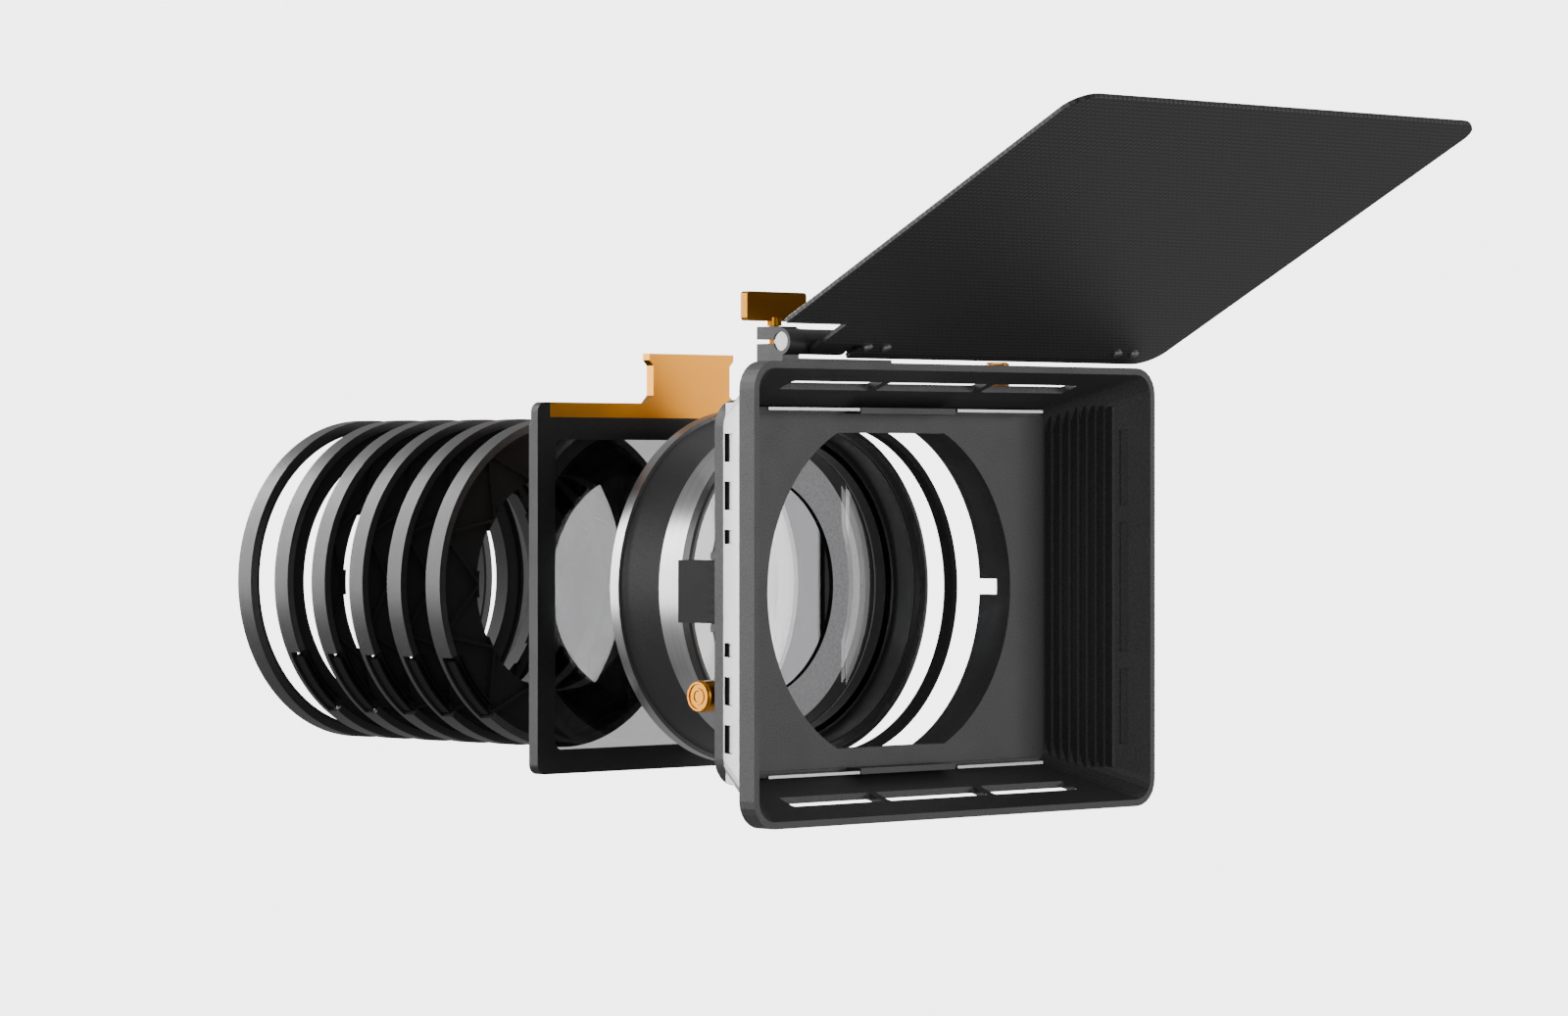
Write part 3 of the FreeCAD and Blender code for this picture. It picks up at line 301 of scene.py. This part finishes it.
def bump(tree, shader, height, strength, distance):
    node = tree.nodes.new("ShaderNodeBump")
    node.inputs["Strength"].default_value = strength
    node.inputs["Distance"].default_value = distance
    tree.links.new(height, node.inputs["Height"])
    tree.links.new(node.outputs["Normal"], shader.inputs["Normal"])


def ramp(tree, value, dark, light, low=0.3, high=0.7):
    """Two colours mixed by a value that is first stretched between two limits."""
    spread = tree.nodes.new("ShaderNodeMapRange")
    spread.inputs["From Min"].default_value = low
    spread.inputs["From Max"].default_value = high
    tree.links.new(value, spread.inputs["Value"])
    mix = tree.nodes.new("ShaderNodeMix")
    mix.data_type = "RGBA"
    mix.inputs["A"].default_value = (*dark, 1)
    mix.inputs["B"].default_value = (*light, 1)
    tree.links.new(spread.outputs[0], mix.inputs["Factor"])
    return mix.outputs["Result"]


def mixed(tree, factor, first, second):
    """One colour where the factor is 0 and the other where it is 1; each a value or a socket."""
    node = tree.nodes.new("ShaderNodeMix")
    node.data_type = "RGBA"
    tree.links.new(factor, node.inputs["Factor"])
    for label, value in (("A", first), ("B", second)):
        if isinstance(value, bpy.types.NodeSocket):
            tree.links.new(value, node.inputs[label])
        else:
            node.inputs[label].default_value = (*value, 1)
    return node.outputs["Result"]


def scaled(base, factor):
    return [channel * factor for channel in base]


def coated_black(name, base, roughness, grain, height=0.35, inside=None, radius=0.0, shine=0.5):
    """Blasted and coated black with a fine grain; inside a radius it can take a darker black that paints shade there,
    and a rougher one.
    """
    material, tree, shader = new_material(name)
    texture = group_in(tree, "Blasted Grain", Scale=grain)
    skin = ramp(tree, texture.outputs["Height"], scaled(base, 0.62), scaled(base, 1.38), 0.35, 0.65)
    if inside:
        zone = group_in(tree, "Ring Zone", Radius=radius)
        # The darker black inside the radius is painted shade
        shade = ramp(tree, texture.outputs["Height"], scaled(inside, 0.7), scaled(inside, 1.3), 0.35, 0.65)
        skin = mixed(tree, zone.outputs["Outside"], shade, skin)
    tree.links.new(skin, shader.inputs["Base Color"])
    rough = tree.nodes.new("ShaderNodeMapRange")
    rough.inputs["To Min"].default_value = roughness - 0.05
    rough.inputs["To Max"].default_value = roughness + 0.05
    tree.links.new(texture.outputs["Mottle"], rough.inputs["Value"])
    dull = rough.outputs[0]
    if inside:
        dull = math_node(tree, "MAXIMUM", dull, math_node(tree, "SUBTRACT", 0.9, zone.outputs["Outside"]))
    tree.links.new(dull, shader.inputs["Roughness"])
    shader.inputs["Specular IOR Level"].default_value = shine
    bump(tree, shader, texture.outputs["Height"], height, 0.00006)
    return material


def turned_metal(name, base, roughness, scale=900.0, stretch=0.02, inside=None, radius=0.0):
    """Bright or anodised metal with fine tool marks; inside a radius it can be coated black."""
    material, tree, shader = new_material(name)
    marks = group_in(tree, "Tool Marks", Scale=scale, Stretch=stretch)
    skin = ramp(tree, marks.outputs["Height"], scaled(base, 0.85), base)
    if inside:
        zone = group_in(tree, "Ring Zone", Radius=radius)
        skin = mixed(tree, zone.outputs["Outside"], inside, skin)
        tree.links.new(zone.outputs["Outside"], shader.inputs["Metallic"])
    else:
        shader.inputs["Metallic"].default_value = 1.0
    tree.links.new(skin, shader.inputs["Base Color"])
    shader.inputs["Roughness"].default_value = roughness
    bump(tree, shader, marks.outputs["Height"], 0.15, 0.00004)
    return material


def carbon_cloth(name):
    material, tree, shader = new_material(name)
    cloth = group_in(tree, "Carbon Weave", Pitch=finish().weave, Tilt=FLAG_TILT)
    tree.links.new(ramp(tree, cloth.outputs["Height"], finish().carbon_dark, finish().carbon, 0.1, 0.95),
                   shader.inputs["Base Color"])
    shader.inputs["Roughness"].default_value = 0.46
    bump(tree, shader, cloth.outputs["Height"], 0.5, 0.00012)
    return material


def filter_glass(name, tint, index):
    """Neutral grey filter glass; a coating makes it mirror more, which a higher index stands for."""
    material, tree, shader = new_material(name)
    shader.inputs["Base Color"].default_value = (*tint, 1)
    shader.inputs["Transmission Weight"].default_value = 1.0
    shader.inputs["Roughness"].default_value = 0.0
    shader.inputs["IOR"].default_value = index
    return material


def materials():
    """All finishes, made once, by the record's slot or by their own name."""
    store = bpy.data.materials
    if "matte hood black" not in store:
        look = finish()
        coated_black("matte hood black", look.hood, 0.5, 2300.0, 0.5)
        coated_black("satin part black", look.metal, 0.42, 3200.0)
        coated_black("satin filter black", look.metal, 0.36, 3600.0)
        # Inside the web radius of the adapters a darker black paints shade
        coated_black("adapter black with painted web shade", look.metal, 0.42, 3000.0, inside=look.shade_black, radius=WEB_OF_ADAPTER)
        # A darker black that paints shade on the latch, the webs and the recesses
        coated_black("black with painted shade", look.shade_black, 0.55, 2600.0, shine=0.18)
        coated_black("tray black", scaled(look.metal, 0.45), 0.45, 3000.0, shine=0.35)
        lacquer_and_glow = coated_black("grey lacquer with painted glow", look.lacquer_and_glow, 0.5, 1500.0)
        # Light doesn't reach this face through the glass, so a weak glow stands for it
        glow = lacquer_and_glow.node_tree.nodes["Principled BSDF"]
        glow.inputs["Emission Color"].default_value = (*look.lacquer_and_glow, 1)
        glow.inputs["Emission Strength"].default_value = 1.7
        coated_black("soft rubber", look.rubber, 0.7, 1800.0)
        carbon_cloth("carbon cloth")
        turned_metal("gold anodised", look.gold, 0.3)
        # The grip's inner black is real, but it is made lighter than the other blacks to paint light on its left-facing
        # inner wall
        turned_metal("silver turned", look.silver, 0.3, inside=scaled(look.metal, 2.2), radius=GRIP_SKIN)
        turned_metal("plain steel", look.steel, 0.34)
        filter_glass("round filter glass", look.glass, 1.34)
        filter_glass("tray filter glass", look.tray_glass, 1.6)
    found = {slot: store[name] for slot, name in SLOT_MATERIALS.items()}
    found.update({name: store[name] for name in OWN_LOOKS})
    return found


OWN_LOOKS = ("adapter black with painted web shade", "black with painted shade", "tray black", "grey lacquer with painted glow", "plain steel")
SLOT_MATERIALS = {
    "hood_black": "matte hood black",
    "part_black": "satin part black",
    "filter_black": "satin filter black",
    "rubber": "soft rubber",
    "carbon": "carbon cloth",
    "gold": "gold anodised",
    "silver": "silver turned",
    "glass": "round filter glass",
    "tray_glass": "tray filter glass",
}


def dress(names, edge=True, look=None):
    """Gives CAD nodes their finish, and breaks their sharp edges."""
    finishes = materials()
    slots = {part["node"]: part["material_slot"] for part in frame["record"]["subparts"]}
    for name in names:
        item = cad(name)
        item.data.materials.clear()
        item.data.materials.append(finishes[look or slots[name]])
        if edge:
            break_edges(item)


def break_edges(item):
    bevel = item.modifiers.new("broken edges", "BEVEL")
    bevel.width = finish().edge
    bevel.segments = 2
    bevel.limit_method = "ANGLE"
    bevel.angle_limit = math.radians(35)
    bevel.harden_normals = True


def piece(name, shape, body, slot, look=None, smooth=None):
    """Turns a bmesh into a new object that rides on a body and takes a slot's finish."""
    bmesh.ops.recalc_face_normals(shape, faces=shape.faces)
    mesh = bpy.data.meshes.new(name)
    shape.to_mesh(mesh)
    shape.free()
    if smooth:
        mesh.shade_smooth()
        mesh.set_sharp_from_angle(angle=math.radians(smooth))
    item = bpy.data.objects.new(name, mesh)
    bpy.context.scene.collection.objects.link(item)
    mesh.materials.append(materials()[look or slot])
    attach(item, body)
    return item


def around(centre, axis, radius, along, angle):
    """A point at an angle round an axis that runs along X, Y or Z."""
    first, second = {"X": ((0, 1, 0), (0, 0, 1)), "Y": ((1, 0, 0), (0, 0, 1)), "Z": ((1, 0, 0), (0, 1, 0))}[axis]
    forward = Vector({"X": (1, 0, 0), "Y": (0, 1, 0), "Z": (0, 0, 1)}[axis])
    swing = Vector(first) * math.cos(angle) + Vector(second) * math.sin(angle)
    return (Vector(centre) + forward * along + swing * radius) * MM


def close_band(shape, low, high):
    """Faces between two loops of the same number of points."""
    for i in range(len(low)):
        j = (i + 1) % len(low)
        shape.faces.new((low[i], low[j], high[j], high[i]))


def ring_shape(profile, centre=(0, 0, 0), axis="Y", count=128, start=0.0, end=360.0, shape=None):
    """Sweeps a closed profile of (along, radius) points in mm round an axis, all the way or through a sector."""
    shape = shape or bmesh.new()
    whole = abs(end - start) >= 360
    steps = count if whole else count + 1
    loops = []
    for step in range(steps):
        angle = math.radians(start + (end - start) * step / count)
        loops.append([shape.verts.new(around(centre, axis, radius, along, angle)) for along, radius in profile])
    for step in range(count):
        close_band(shape, loops[step], loops[(step + 1) % steps])
    if not whole:
        shape.faces.new(loops[0])
        shape.faces.new(loops[-1])
    return shape


def rivet_head(centre, shape):
    """A low round head under the flag: rim, rounded shoulder and a shallow crown."""
    rows = [(0.0, 1.0), (0.45, 0.98), (0.8, 0.8), (0.95, 0.5)]
    count = 24
    loops = []
    for down, out in rows:
        turns = [2 * math.pi * step / count for step in range(count)]
        loops.append([shape.verts.new(FLAG_PLACE @ around(centre, "Z", RIVET_RADIUS * out, -RIVET_HEIGHT * down, turn))
                      for turn in turns])
    for low, high in zip(loops, loops[1:]):
        close_band(shape, low, high)
    shape.faces.new(loops[-1])
    shape.faces.new(loops[0])


def bar_shape(low, high, cut, shape):
    """A bar with its long edges along X cut off."""
    (x0, y0, z0), (x1, y1, z1) = low, high
    outline = [(y0 + cut, z0), (y1 - cut, z0), (y1, z0 + cut), (y1, z1 - cut), (y1 - cut, z1), (y0 + cut, z1),
               (y0, z1 - cut), (y0, z0 + cut)]
    ends = [[shape.verts.new(Vector((x, y, z)) * MM) for y, z in outline] for x in (x0, x1)]
    close_band(shape, *ends)
    shape.faces.new(ends[0])
    shape.faces.new(ends[1])


# The backdrop's profile as (radius, height above the floor), in metres
BACKDROP = [(0.0, 0.0), (3.0, 0.0), (3.6, 0.12), (4.0, 0.5), (4.15, 1.2), (4.2, 4.0), (3.0, 6.0), (0.0, 6.6)]
# Area lights as (name, place in metres, width and height in metres, watts), all aimed at one point
LIGHT_AIM = (0, 0.05, 0.02)
LIGHTS = [
    ("back", (-0.05, 1.9, 0.1), (0.4, 1.8), 170),
    ("left_back", (-1.15, 1.55, 0.2), (0.35, 1.6), 26),
    ("left", (-1.9, 0.3, 0.35), (0.6, 1.2), 8),
    ("left_front", (-1.7, -1.1, 0.25), (0.5, 0.8), 5),
    ("front_right", (1.45, -1.9, 0.3), (0.8, 0.9), 15),
    ("low_front", (0.35, -1.7, -0.2), (0.9, 0.4), 7),
    ("top", (0.2, 0.1, 1.9), (1.4, 1.0), 10),
]


class MATTEBOX_OT_stage(bpy.types.Operator):
    """Pale floor and backdrop, soft lights and the camera"""
    bl_idname = "matte_box.stage"
    bl_label = "Stage"

    def execute(self, context):
        view = context.scene.matte_box_view
        self.backdrop(view)
        self.camera(view)
        self.lights()
        return {"FINISHED"}

    def backdrop(self, view):
        floor = cad_box[0][2] - view.floor_drop
        count = 96
        shell = bmesh.new()
        loops = []
        for radius, height in BACKDROP:
            turns = [2 * math.pi * i / count for i in range(count)]
            loops.append([shell.verts.new((radius * math.cos(a), radius * math.sin(a), floor + height))
                          for a in turns])
        for low, high in zip(loops, loops[1:]):
            close_band(shell, low, high)
        bmesh.ops.remove_doubles(shell, verts=shell.verts, dist=1e-5)
        mesh = bpy.data.meshes.new("pale backdrop")
        shell.to_mesh(mesh)
        shell.free()
        for face in mesh.polygons:
            face.use_smooth = True
        item = bpy.data.objects.new("pale_backdrop", mesh)
        bpy.context.scene.collection.objects.link(item)
        mesh.materials.append(self.pale(view))

    def pale(self, view):
        """Bright to the camera and in the glasses, dimmer to the rest, so that the blacks keep their contrast."""
        material = bpy.data.materials.new("pale paper")
        material.use_nodes = True
        tree = material.node_tree
        tree.nodes.clear()
        path = tree.nodes.new("ShaderNodeLightPath")
        seen = math_node(tree, "MAXIMUM", path.outputs["Is Camera Ray"], path.outputs["Is Singular Ray"])
        spread = tree.nodes.new("ShaderNodeMix")
        tree.links.new(seen, spread.inputs["Factor"])
        spread.inputs["A"].default_value = view.room
        spread.inputs["B"].default_value = view.backdrop
        glow = tree.nodes.new("ShaderNodeEmission")
        glow.inputs["Color"].default_value = (1, 1, 1, 1)
        tree.links.new(spread.outputs[0], glow.inputs["Strength"])
        out = tree.nodes.new("ShaderNodeOutputMaterial")
        tree.links.new(glow.outputs[0], out.inputs["Surface"])
        return material

    def camera(self, view):
        data = bpy.data.cameras.new("camera")
        data.sensor_width = SENSOR_MM
        data.lens = view.focal_px * SENSOR_MM / PHOTO_WIDTH
        data.shift_y = (view.horizon_row - PHOTO_HEIGHT / 2) / PHOTO_WIDTH
        data.clip_end = 20
        item = bpy.data.objects.new("camera", data)
        item.location = view.place
        item.rotation_euler = (math.pi / 2, 0, view.turn)
        bpy.context.scene.collection.objects.link(item)
        bpy.context.scene.camera = item

    def lights(self):
        aim = Vector(LIGHT_AIM)
        for name, place, size, power in LIGHTS:
            data = bpy.data.lights.new(name, "AREA")
            data.shape = "RECTANGLE"
            data.size, data.size_y = size
            data.energy = power
            item = bpy.data.objects.new(name, data)
            item.location = place
            item.rotation_euler = (aim - Vector(place)).to_track_quat("-Z", "Y").to_euler()
            item.visible_camera = False
            bpy.context.scene.collection.objects.link(item)


class MATTEBOX_OT_hood(bpy.types.Operator):
    """Hood shell, aperture plate and baffle strips"""
    bl_idname = "matte_box.hood"
    bl_label = "Hood"

    def execute(self, context):
        dress(["hood_shell", "aperture_plate", "baffle_strips"])
        self.lips()
        return {"FINISHED"}

    def lips(self):
        """Bright lips along the front edge of the baffle strips."""
        low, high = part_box("baffle_strips")
        top, bottom, front = high[2] / MM, low[2] / MM, low[1] / MM
        shape = bmesh.new()
        for left, right in LIP_SPANS:
            for level in (top, bottom):
                inner = level - math.copysign(LIP_HEIGHT, level)
                bar_shape((left, front - LIP_PROUD, min(level, inner)),
                          (right, front + LIP_SUNK, max(level, inner)), LIP_CUT, shape)
        piece("baffle_lips", shape, "root", "silver", "plain steel")


class MATTEBOX_OT_collar(bpy.types.Operator):
    """Lens collar, latch and locking knob"""
    bl_idname = "matte_box.collar"
    bl_label = "Collar, latch and knob"

    def execute(self, context):
        dress(["lens_collar", "pull_knob", "spacer_ring"])
        # The latch takes the darker black that paints shade on it
        dress(["latch", "latch_pin"], look="black with painted shade")
        self.knob_rings()
        return {"FINISHED"}

    def knob_rings(self):
        """Two raised rings on the end face of the locking knob."""
        outer = [(0.1, 4.35), (-0.35, 4.2), (-0.35, 3.6), (0.1, 3.4)]
        inner = [(0.1, 2.5), (-0.25, 2.35), (-0.25, 1.7), (0.1, 1.5)]
        shape = ring_shape(outer, KNOB_END, "X", 48)
        ring_shape(inner, KNOB_END, "X", 48, shape=shape)
        piece("knob_end_rings", shape, "knob", "gold", smooth=40)


class MATTEBOX_OT_flag(bpy.types.Operator):
    """Carbon flag with its leaf, plate and rivets"""
    bl_idname = "matte_box.flag"
    bl_label = "Top flag"

    def execute(self, context):
        dress(["flag_leaf", "flag_plate"])
        self.sheet()
        self.rivets()
        return {"FINISHED"}

    def sheet(self):
        """The carbon sheet, cut away at one corner so that it clears the clamp and the knuckle."""
        clamp, clamp_depth = CLAMP_CUT
        knuckle, knuckle_depth = KNUCKLE_CUT
        outline = [(-FLAG_SIDE, FLAG_BACK - clamp_depth), (clamp, FLAG_BACK - clamp_depth),
                   (clamp, FLAG_BACK - knuckle_depth), (knuckle, FLAG_BACK - knuckle_depth), (knuckle, FLAG_BACK)]
        middle = FLAG_SIDE - FLAG_CORNER
        for x, y, start in ((middle, FLAG_BACK - FLAG_CORNER, 90), (middle, FLAG_FRONT + FLAG_CORNER, 0),
                            (-middle, FLAG_FRONT + FLAG_CORNER, -90)):
            for step in range(CORNER_STEPS + 1):
                angle = math.radians(start - 90 * step / CORNER_STEPS)
                outline.append((x + FLAG_CORNER * math.cos(angle), y + FLAG_CORNER * math.sin(angle)))
        shape = bmesh.new()
        faces = [[shape.verts.new(FLAG_PLACE @ (Vector((x, y, level)) * MM)) for x, y in outline]
                 for level in (FLAG_UNDER, FLAG_OVER)]
        for ring in faces:
            shape.faces.new(ring)
        close_band(shape, *faces)
        sheet = piece("flag_sheet", shape, "flag", "carbon")
        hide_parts("top_flag")
        break_edges(sheet)

    def rivets(self):
        """Four low rivet heads through the carbon into the leaf and the plate."""
        shape = bmesh.new()
        for across in RIVETS_ACROSS:
            rivet_head((across, RIVET_ROW, FLAG_UNDER), shape)
        piece("flag_rivets", shape, "flag", "silver", "plain steel", smooth=40)


class MATTEBOX_OT_hinge(bpy.types.Operator):
    """Split clamp, rod, clip, gold lever and thumb screw"""
    bl_idname = "matte_box.hinge"
    bl_label = "Hinge and screws"

    def execute(self, context):
        dress(["hinge_bracket", "hinge_rod", "rod_clip", "flag_lever", "top_screw"])
        return {"FINISHED"}


class MATTEBOX_OT_filter(bpy.types.Operator):
    """Round variable filter"""
    bl_idname = "matte_box.filter"
    bl_label = "Round filter"

    def execute(self, context):
        dress(["filter_rim", "filter_grip", "filter_body", "filter_flange"])
        dress(["front_glass", "rear_glass"], edge=False)
        self.web()
        stop = ring_shape([(STOP_FRONT, 44.8), (STOP_FRONT, 46.45), (STOP_BACK, 46.45), (STOP_BACK, 44.8)],
                          count=FINE)
        piece("filter_stop_ring", stop, "root", "silver", "plain steel", smooth=40)
        keeper = ring_shape([(KEEPER_FRONT, 46.2), (KEEPER_FRONT, 47.3), (KEEPER_BACK, 47.3), (KEEPER_BACK, 45.9),
                             (44.3, 45.9)], count=FINE)
        piece("front_glass_keeper", keeper, "filter_front", "filter_black", smooth=40)
        return {"FINISHED"}

    def web(self):
        """The web with a threaded hole that closes the back of the filter; its darker black paints shade."""
        thread = [(WEB_FRONT + THREAD_PITCH / 2 * i, WEB_HOLE + THREAD_DEPTH * (i % 2)) for i in range(5)]
        shape = ring_shape([(WEB_FRONT, WEB_RIM)] + thread + [(WEB_BACK, WEB_RIM)], count=FINE)
        for step in range(WEB_RIBS):
            angle = 360 / WEB_RIBS * step
            ring_shape(self.raised(35.2, 44.4), count=2, start=angle - 0.7, end=angle + 0.7, shape=shape)
        for inner, outer in ((34.4, 35.4), (43.6, 44.5)):
            ring_shape(self.raised(inner, outer), count=FINE, shape=shape)
        # The web's back takes the darker black that paints shade
        piece("filter_web", shape, "root", "filter_black", "black with painted shade", smooth=40)
        face = ring_shape([(WEB_FACE, 34.2), (WEB_FACE, 44.4), (WEB_FRONT, WEB_RIM), (WEB_FRONT, 33.6)], count=FINE)
        # The web face glows: painted light that stands for light through the front glass
        piece("filter_web_face", face, "root", "filter_black", "grey lacquer with painted glow", smooth=40)

    def raised(self, inner, outer):
        """The section of a rib that stands on the back of the web."""
        top = WEB_BACK + RIB_RISE
        return [(WEB_BACK, inner), (top, inner), (top, outer), (WEB_BACK, outer)]


class MATTEBOX_OT_tray(bpy.types.Operator):
    """Square filter tray with its gold handle"""
    bl_idname = "matte_box.tray"
    bl_label = "Filter tray"

    def execute(self, context):
        dress(["tray_frame", "tray_cover"], look="tray black")
        dress(["tray_handle"])
        dress(["tray_glass"], edge=False)
        return {"FINISHED"}


class MATTEBOX_OT_adapters(bpy.types.Operator):
    """Six lens adapter rings"""
    bl_idname = "matte_box.adapters"
    bl_label = "Adapter rings"

    def execute(self, context):
        names = sorted(name for name in frame["nodes"] if name.startswith("adapter_"))
        dress(names, look="adapter black with painted web shade")
        for name in names[:-1]:
            self.rails(name)
        return {"FINISHED"}

    def rails(self, name):
        """Two curved rails on a thin floor, set in the notch at the lower left of a ring."""
        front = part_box(name)[0][1] / MM
        back, face = front + 4.2, front + 3.0
        shape = ring_shape([(face, NOTCH_FLOOR), (back, NOTCH_FLOOR), (back, NOTCH_TOP), (face, NOTCH_TOP)],
                           count=24, start=NOTCH_START, end=NOTCH_END)
        for inner, outer in ((NOTCH_FLOOR, 47.1), (49.5, NOTCH_TOP)):
            ring_shape([(front + 0.6, inner), (face, inner), (face, outer), (front + 0.6, outer)],
                       count=24, start=NOTCH_START, end=NOTCH_END, shape=shape)
        # The rails in the notch take the darker black that paints shade
        piece(name + "_rails", shape, "root", "part_black", "black with painted shade", smooth=40)


PIECES = [MATTEBOX_OT_stage, MATTEBOX_OT_hood, MATTEBOX_OT_collar, MATTEBOX_OT_flag, MATTEBOX_OT_hinge,
          MATTEBOX_OT_filter, MATTEBOX_OT_tray, MATTEBOX_OT_adapters]


class MATTEBOX_PT_panel(bpy.types.Panel):
    """Buttons and values of the matte box"""
    bl_idname = "MATTEBOX_PT_panel"
    bl_label = "Matte Box"
    bl_space_type = "VIEW_3D"
    bl_region_type = "UI"
    bl_category = "Matte Box"

    def draw(self, context):
        for group in (context.scene.matte_box_finish, context.scene.matte_box_view):
            for name in group.__annotations__:
                self.layout.prop(group, name)
        for operator in PIECES:
            self.layout.operator(operator.bl_idname)


CLASSES = [MatteBoxFinish, MatteBoxView] + PIECES + [MATTEBOX_PT_panel]


def register():
    for item in CLASSES:
        bpy.utils.register_class(item)
    bpy.types.Scene.matte_box_finish = PointerProperty(type=MatteBoxFinish)
    bpy.types.Scene.matte_box_view = PointerProperty(type=MatteBoxView)


def unregister():
    del bpy.types.Scene.matte_box_view
    del bpy.types.Scene.matte_box_finish
    for item in reversed(CLASSES):
        bpy.utils.unregister_class(item)


def main():
    register()
    for operator in PIECES:
        group, name = operator.bl_idname.split(".")
        getattr(getattr(bpy.ops, group), name)()


if __name__ == "__main__":
    main()
